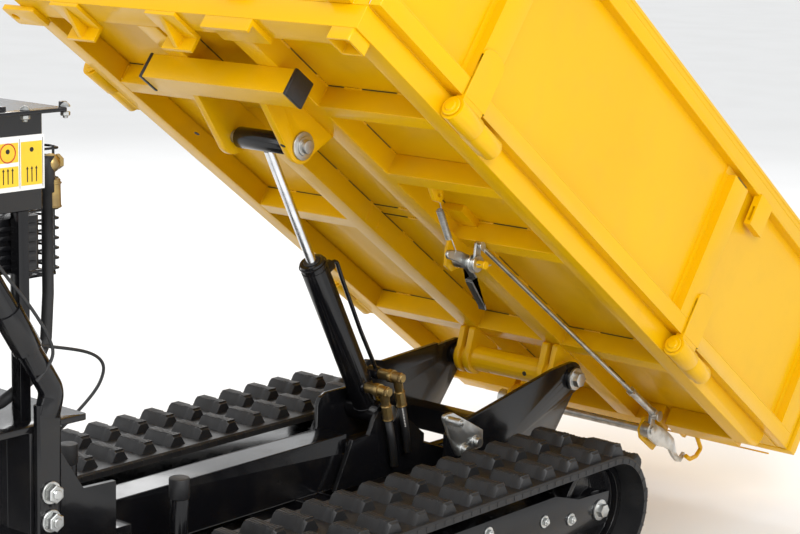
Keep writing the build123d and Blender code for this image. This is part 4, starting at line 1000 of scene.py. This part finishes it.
# ---------------------------------------------------------------- power unit
class PowerUnit:
    """Engine, oil tank, silencer, gearbox and valve."""

    finishes = {
        "engine_deck": Slot.BLACK, "gearbox": Slot.CAST, "engine_block": Slot.BLACK, "fan_housing": Slot.PLASTIC,
        "fuel_tank": Slot.TANK_RED, "muffler": Slot.STEEL_DULL, "wire_guard": Slot.BLACK,
        "oil_tank": Slot.BLACK, "tank_hose": Slot.RUBBER, "valve_block": Slot.ZINC,
    }

    def dress(self) -> None:
        """Finishes the CAD nodes."""
        for node, slot in self.finishes.items():
            dress(node, slot, 0.0 if node in ("wire_guard", "tank_hose") else 0.0012)
        dress("valve_lever", Slot.PLASTIC)

    def tank(self) -> None:
        """Label plate, hose fitting and crimped ferrule of the oil tank."""
        low, high = span("oil_tank")
        over, hang = 0.014, 0.030
        face, wall = low.y + hang, high.x - over
        plate = Shape("tank_label")
        x0, x1, z0, z1 = low.x + over + 0.012, wall - 0.010, low.z + 0.026, low.z + 0.094
        plate.box((x0, face - 0.0009, z0), (x1, face + 0.0002, z1), 0.0003, 1)
        plate.finish("chassis", Slot.LABEL)
        panels = Shape("tank_label_panels")
        wide = (x1 - x0 - 0.020) / 4
        spots = [x0 + 0.004 + i * (wide + 0.004) for i in range(4)]
        for i, left in enumerate(spots):
            foot = z0 + 0.006 if i == 3 else z0 + 0.036
            panels.box((left, face - 0.0013, foot), (left + wide, face - 0.0008, z1 - 0.008), 0.0002, 1)
            if i < 3:
                panels.box((left, face - 0.0013, z0 + 0.006), (left + wide, face - 0.0008, z0 + 0.031), 0.0002, 1)
        panels.finish("chassis", Slot.LABEL_YELLOW)
        marks = Shape("tank_label_marks")
        front = face - 0.0013
        for i, left in enumerate(spots):
            mid = left + wide / 2
            marks.rod((mid, front - 0.0003, z1 - 0.018), (mid, front + 0.0002, z1 - 0.018), 0.0030, 20, 0)
            for shift in (-0.007, 0.0, 0.007):
                x = mid + shift
                marks.box((x - 0.0007, front - 0.0003, z0 + 0.010), (x + 0.0007, front + 0.0002, z0 + 0.026), 0, 1)
                marks.prism(((x - 0.0018, z0 + 0.026), (x + 0.0018, z0 + 0.026), (x, z0 + 0.0295)),
                            front - 0.0003, front + 0.0002, 0)
        for x in (*[left - 0.002 for left in spots], x1 - 0.003):
            marks.box((x - 0.0003, front + 0.0002, z0 + 0.003), (x + 0.0003, front + 0.0005, z1 - 0.004), 0, 1)
        marks.finish("chassis", Slot.SHADE_AND_PRINT)
        ring = Shape("tank_label_ring")
        mid = spots[2] + wide / 2
        ring.tube([(mid + 0.0115 * cos(tau * k / 40), face - 0.0016, z1 - 0.020 + 0.0115 * sin(tau * k / 40))
                   for k in range(40)],
                  0.0007, 8, closed=True)
        ring.finish("chassis", Slot.RED_PRINT)
        domes = Shape("tank_lid_bolts")
        for x in (low.x + 0.008, (low.x + high.x) / 2 - 0.03, (low.x + high.x) / 2 + 0.03, high.x - 0.008):
            for y in (low.y + 0.008, high.y - 0.008):
                lid = high.z - 0.026
                for rise, r in ((0.0, 0.0064), (0.0016, 0.0058), (0.0030, 0.0044), (0.0040, 0.0026)):
                    domes.rod((x, y, lid + rise), (x, y, lid + rise + 0.0016), r, 24, 0.0007)
                domes.rod((x, y, lid - 0.0056), (x, y, lid - 0.0112), 0.0062, 6, 0.0009)
                domes.rod((x, y, lid - 0.0112), (x, y, lid - 0.0140), 0.0032, 16, 0.0006)
        domes.finish("chassis", Slot.ZINC)
        x, y, z = wall + 0.027, -0.092, 0.726
        elbow = Shape("tank_elbow")
        elbow.rod((wall, y, z), (wall + 0.006, y, z), 0.0110, 6, 0.0008)
        bmesh.ops.create_uvsphere(elbow.bm, u_segments=36, v_segments=18, radius=0.0125,
                                  matrix=Matrix.Translation((x - 0.004, y, z)))
        elbow.rod((x + 0.004, y, z + 0.001), (x + 0.0115, y, z + 0.001), 0.0098, 6, 0.0011)
        elbow.rod((x - 0.002, y, z - 0.008), (x - 0.002, y, z - 0.022), 0.0042, 20, 0.0004)
        elbow.rod((x - 0.001, y, z - 0.020), (x, y, z - 0.057), 0.0100, 32, 0.0009)
        for foot in (z - 0.024, z - 0.054):
            elbow.rod((x, y, foot), (x, y, foot - 0.0022), 0.0108, 32, 0.0006)
        elbow.finish("chassis", Slot.BRASS)

    def engine(self) -> None:
        """Cooling fins, bolts, the cap's ridges and the fan's grille."""
        low, high = span("engine_block")
        fins = Shape("engine_fins")
        for i in range(11):
            z = 0.468 + i * 0.0085
            fins.box((high.x - 0.112, -0.052, z), (high.x - 0.062, 0.072, z + 0.0026), 0.0006, 1)
        fins.finish("chassis", Slot.CAST)
        bolts = Shape("engine_bolts")
        for x in (low.x + 0.02, low.x + 0.085, low.x + 0.15):
            for z in (0.425, 0.545):
                bolts.bolt((x, -0.070, z), (0, -1, 0), 0.006, 0.005, 0.009)
        cx, cz = -0.885, 0.520
        for i in range(6):
            turn = tau * i / 6
            bolts.bolt((cx + 0.082 * cos(turn), 0.150, cz + 0.082 * sin(turn)), (0, 1, 0), 0.0045, 0.004, 0.007)
        bolts.finish("chassis", Slot.ZINC)
        grille = Shape("fan_grille")
        for i in range(5):
            r = 0.016 + i * 0.0095
            ring = [(cx + r * cos(tau * k / 48), 0.1723, cz + r * sin(tau * k / 48)) for k in range(48)]
            grille.tube(ring, 0.0016, 8, closed=True)
        for i in range(12):
            turn = tau * i / 12
            grille.tube([(cx + 0.012 * cos(turn), 0.1723, cz + 0.012 * sin(turn)),
                         (cx + 0.055 * cos(turn), 0.1723, cz + 0.055 * sin(turn))], 0.0014, 8)
        grille.finish("chassis", Slot.PLASTIC)
        cap = Shape("fuel_cap_ridges")
        tank_top = span("fuel_tank")[1].z
        for i in range(28):
            turn = tau * i / 28
            x, y = -0.900 + 0.0278 * cos(turn), 0.040 + 0.0278 * sin(turn)
            cap.rod((x, y, tank_top - 0.019), (x, y, tank_top - 0.002), 0.0014, 8, 0.0003)
        cap.finish("chassis", Slot.PLASTIC)
        box = Shape("gearbox_bolts")
        for x in (-0.585, -0.535, -0.489):
            for z in (0.086, 0.212):
                for sign in (-1, 1):
                    box.bolt((x, sign * 0.092, z), (0, sign, 0), 0.0055, 0.005, 0.009)
        box.finish("chassis", Slot.ZINC)

    def cables(self) -> None:
        """Control cables that loop between the handlebar and the gearbox."""
        routes = (
            ((-0.8770, -0.150, 0.850), (-0.800, -0.168, 0.740), (-0.717, -0.170, 0.619), (-0.687, -0.170, 0.588),
             (-0.657, -0.170, 0.549), (-0.636, -0.170, 0.514), (-0.633, -0.168, 0.494), (-0.655, -0.160, 0.470)),
            ((-0.640, -0.138, 0.505), (-0.612, -0.100, 0.499), (-0.568, -0.100, 0.488), (-0.518, -0.100, 0.475),
             (-0.493, -0.100, 0.457), (-0.495, -0.100, 0.436), (-0.515, -0.100, 0.412), (-0.566, -0.096, 0.378)),
        )
        loom = Shape("control_cables")
        for route in routes:
            loom.tube(route, 0.0022, 12, soft=True)
        loom.finish("chassis", Slot.PLASTIC)


# ---------------------------------------------------------------- controls
class Controls:
    """Handlebars, grips, console and levers."""

    def dress(self) -> None:
        """Finishes the CAD nodes."""
        dress("handlebars", Slot.BLACK, 0.0007)
        dress("console", Slot.BLACK, 0.0007)
        dress("grips", Slot.RUBBER, 0.0014)
        for node in ("gear_lever", "throttle_lever", "clutch_lever_left", "clutch_lever_right"):
            dress(node, Slot.PLASTIC, 0.0007)

    def ribs(self) -> None:
        """Ribs round the hand grips."""
        low, high = span("grips")
        ribs = Shape("grip_ribs")
        start = Vector((high.x - 0.004, 0, low.z + 0.019))
        end = Vector((low.x + 0.006, 0, high.z - 0.020))
        run = (end - start).normalized()
        up = run.cross(Vector((0, 1, 0)))
        for sign in (-1, 1):
            for i in range(13):
                centre = start.lerp(end, 0.12 + 0.8 * i / 12) + Vector((0, sign * 0.150, 0))
                ring = [centre + up * (0.0192 * cos(tau * k / 32)) + Vector((0, 0.0192 * sin(tau * k / 32), 0))
                        for k in range(32)]
                ribs.tube(ring, 0.0013, 8, closed=True)
        ribs.finish("chassis", Slot.RUBBER)

    def feet(self) -> None:
        """Bright washers and nuts of the handlebar feet."""
        bolts = Shape("foot_bolts")
        for sign in (-1, 1):
            for z in (0.284, 0.321):
                foot, seat, end = ((-0.631, sign * y, z) for y in (0.1551, 0.1583, 0.1684))
                bolts.rod(foot, seat, 0.0146, 36, 0.0006)
                bolts.rod(seat, end, 0.0122, 6, 0.0011)
                bolts.rod(end, (-0.631, sign * 0.1712, z), 0.0062, 20, 0.0008)
        bolts.finish("chassis", Slot.ZINC)


# ---------------------------------------------------------------- stage
@dataclass(frozen=True)
class Shot:
    """Camera place, aim and lens."""

    place: tuple = (-2.1672, -2.0266, 1.0823)
    yaw: float = 40.35
    pitch: float = 10.98
    roll: float = 1.39
    lens: float = 89.04


class Stage:
    """Floor, lights and camera."""

    def __init__(self, shot: Shot) -> None:
        self.shot = shot

    def build(self) -> None:
        """Adds everything that isn't the object."""
        g = Graph("floor")
        tone = g.blend(g.band(g.noise(2.2, 6.0), 0.35, 0.7) * 0.5, (0.90, 0.90, 0.895), (0.85, 0.848, 0.84))
        paper = g.wire(Base_Color=tone, Roughness=0.55 + 0.15 * g.noise(9.0))
        bpy.ops.mesh.primitive_plane_add(size=60, location=(0, 0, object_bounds()[0][2]))
        floor = bpy.context.object
        floor.name = "floor"
        floor.data.materials.append(paper)
        floor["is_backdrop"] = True
        world = bpy.data.worlds.new("studio")
        bpy.context.scene.world = world
        world.use_nodes = True
        sky = world.node_tree.nodes["Background"]
        sky.inputs["Color"].default_value = (0.98, 0.99, 1.0, 1.0)
        sky.inputs["Strength"].default_value = 0.92
        self._light("key", (-1.9, -3.0, 2.6), (0.0, 0.0, 0.4), 1.6, 90.0)
        self._light("fill", (-3.6, 0.8, 1.6), (-0.2, 0.0, 0.5), 1.8, 22.0)
        self._light("back", (2.6, 2.6, 3.0), (0.0, 0.0, 0.4), 2.2, 70.0)
        self._camera()
        bpy.context.scene.view_settings.view_transform = "Standard"

    def _light(self, name: str, place: Point, target: Point, size: float, power: float) -> None:
        data = bpy.data.lights.new(name, "AREA")
        data.size = size
        data.energy = power
        lamp = bpy.data.objects.new(name, data)
        lamp.location = place
        lamp.rotation_euler = (Vector(target) - Vector(place)).to_track_quat("-Z", "Y").to_euler()
        bpy.context.scene.collection.objects.link(lamp)
        lamp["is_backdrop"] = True

    def _camera(self) -> None:
        shot = self.shot
        yaw, pitch, roll = radians(shot.yaw), radians(shot.pitch), radians(shot.roll)
        ahead = Vector((cos(yaw) * cos(pitch), sin(yaw) * cos(pitch), -sin(pitch)))
        right = Vector((sin(yaw), -cos(yaw), 0))
        up = right.cross(ahead)
        across = right * cos(roll) + up * sin(roll)
        above = up * cos(roll) - right * sin(roll)
        data = bpy.data.cameras.new("camera")
        data.lens = shot.lens
        data.sensor_width = 36.0
        camera = bpy.data.objects.new("camera", data)
        camera.matrix_world = (Matrix.Translation(shot.place)
                               @ Matrix((across, above, -ahead)).transposed().to_4x4())
        bpy.context.scene.collection.objects.link(camera)
        bpy.context.scene.camera = camera


def main() -> None:
    """Builds the visual model."""
    logging.basicConfig(level=logging.INFO)
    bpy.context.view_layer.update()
    bed = Bed(BedSizes())
    bed.dress()
    bed.seams()
    bed.fittings()
    for side in ("left", "right"):
        panel = DropSide(side)
        panel.dress()
        panel.pressings()
        track = Track(side, BeltSizes())
        track.dress()
        track.belt()
        track.fasteners()
    gate = Tailgate()
    gate.dress()
    gate.pressings()
    latch = Latch(SpringSizes())
    latch.dress()
    latch.coil()
    latch.lever()
    latch.adjuster()
    ram = Ram()
    ram.dress()
    ram.rings()
    ram.prints()
    chassis = Chassis()
    chassis.dress()
    chassis.welds()
    unit = PowerUnit()
    unit.dress()
    unit.tank()
    unit.engine()
    unit.cables()
    controls = Controls()
    controls.dress()
    controls.ribs()
    controls.feet()
    Stage(Shot()).build()


if __name__ == "__main__":
    main()
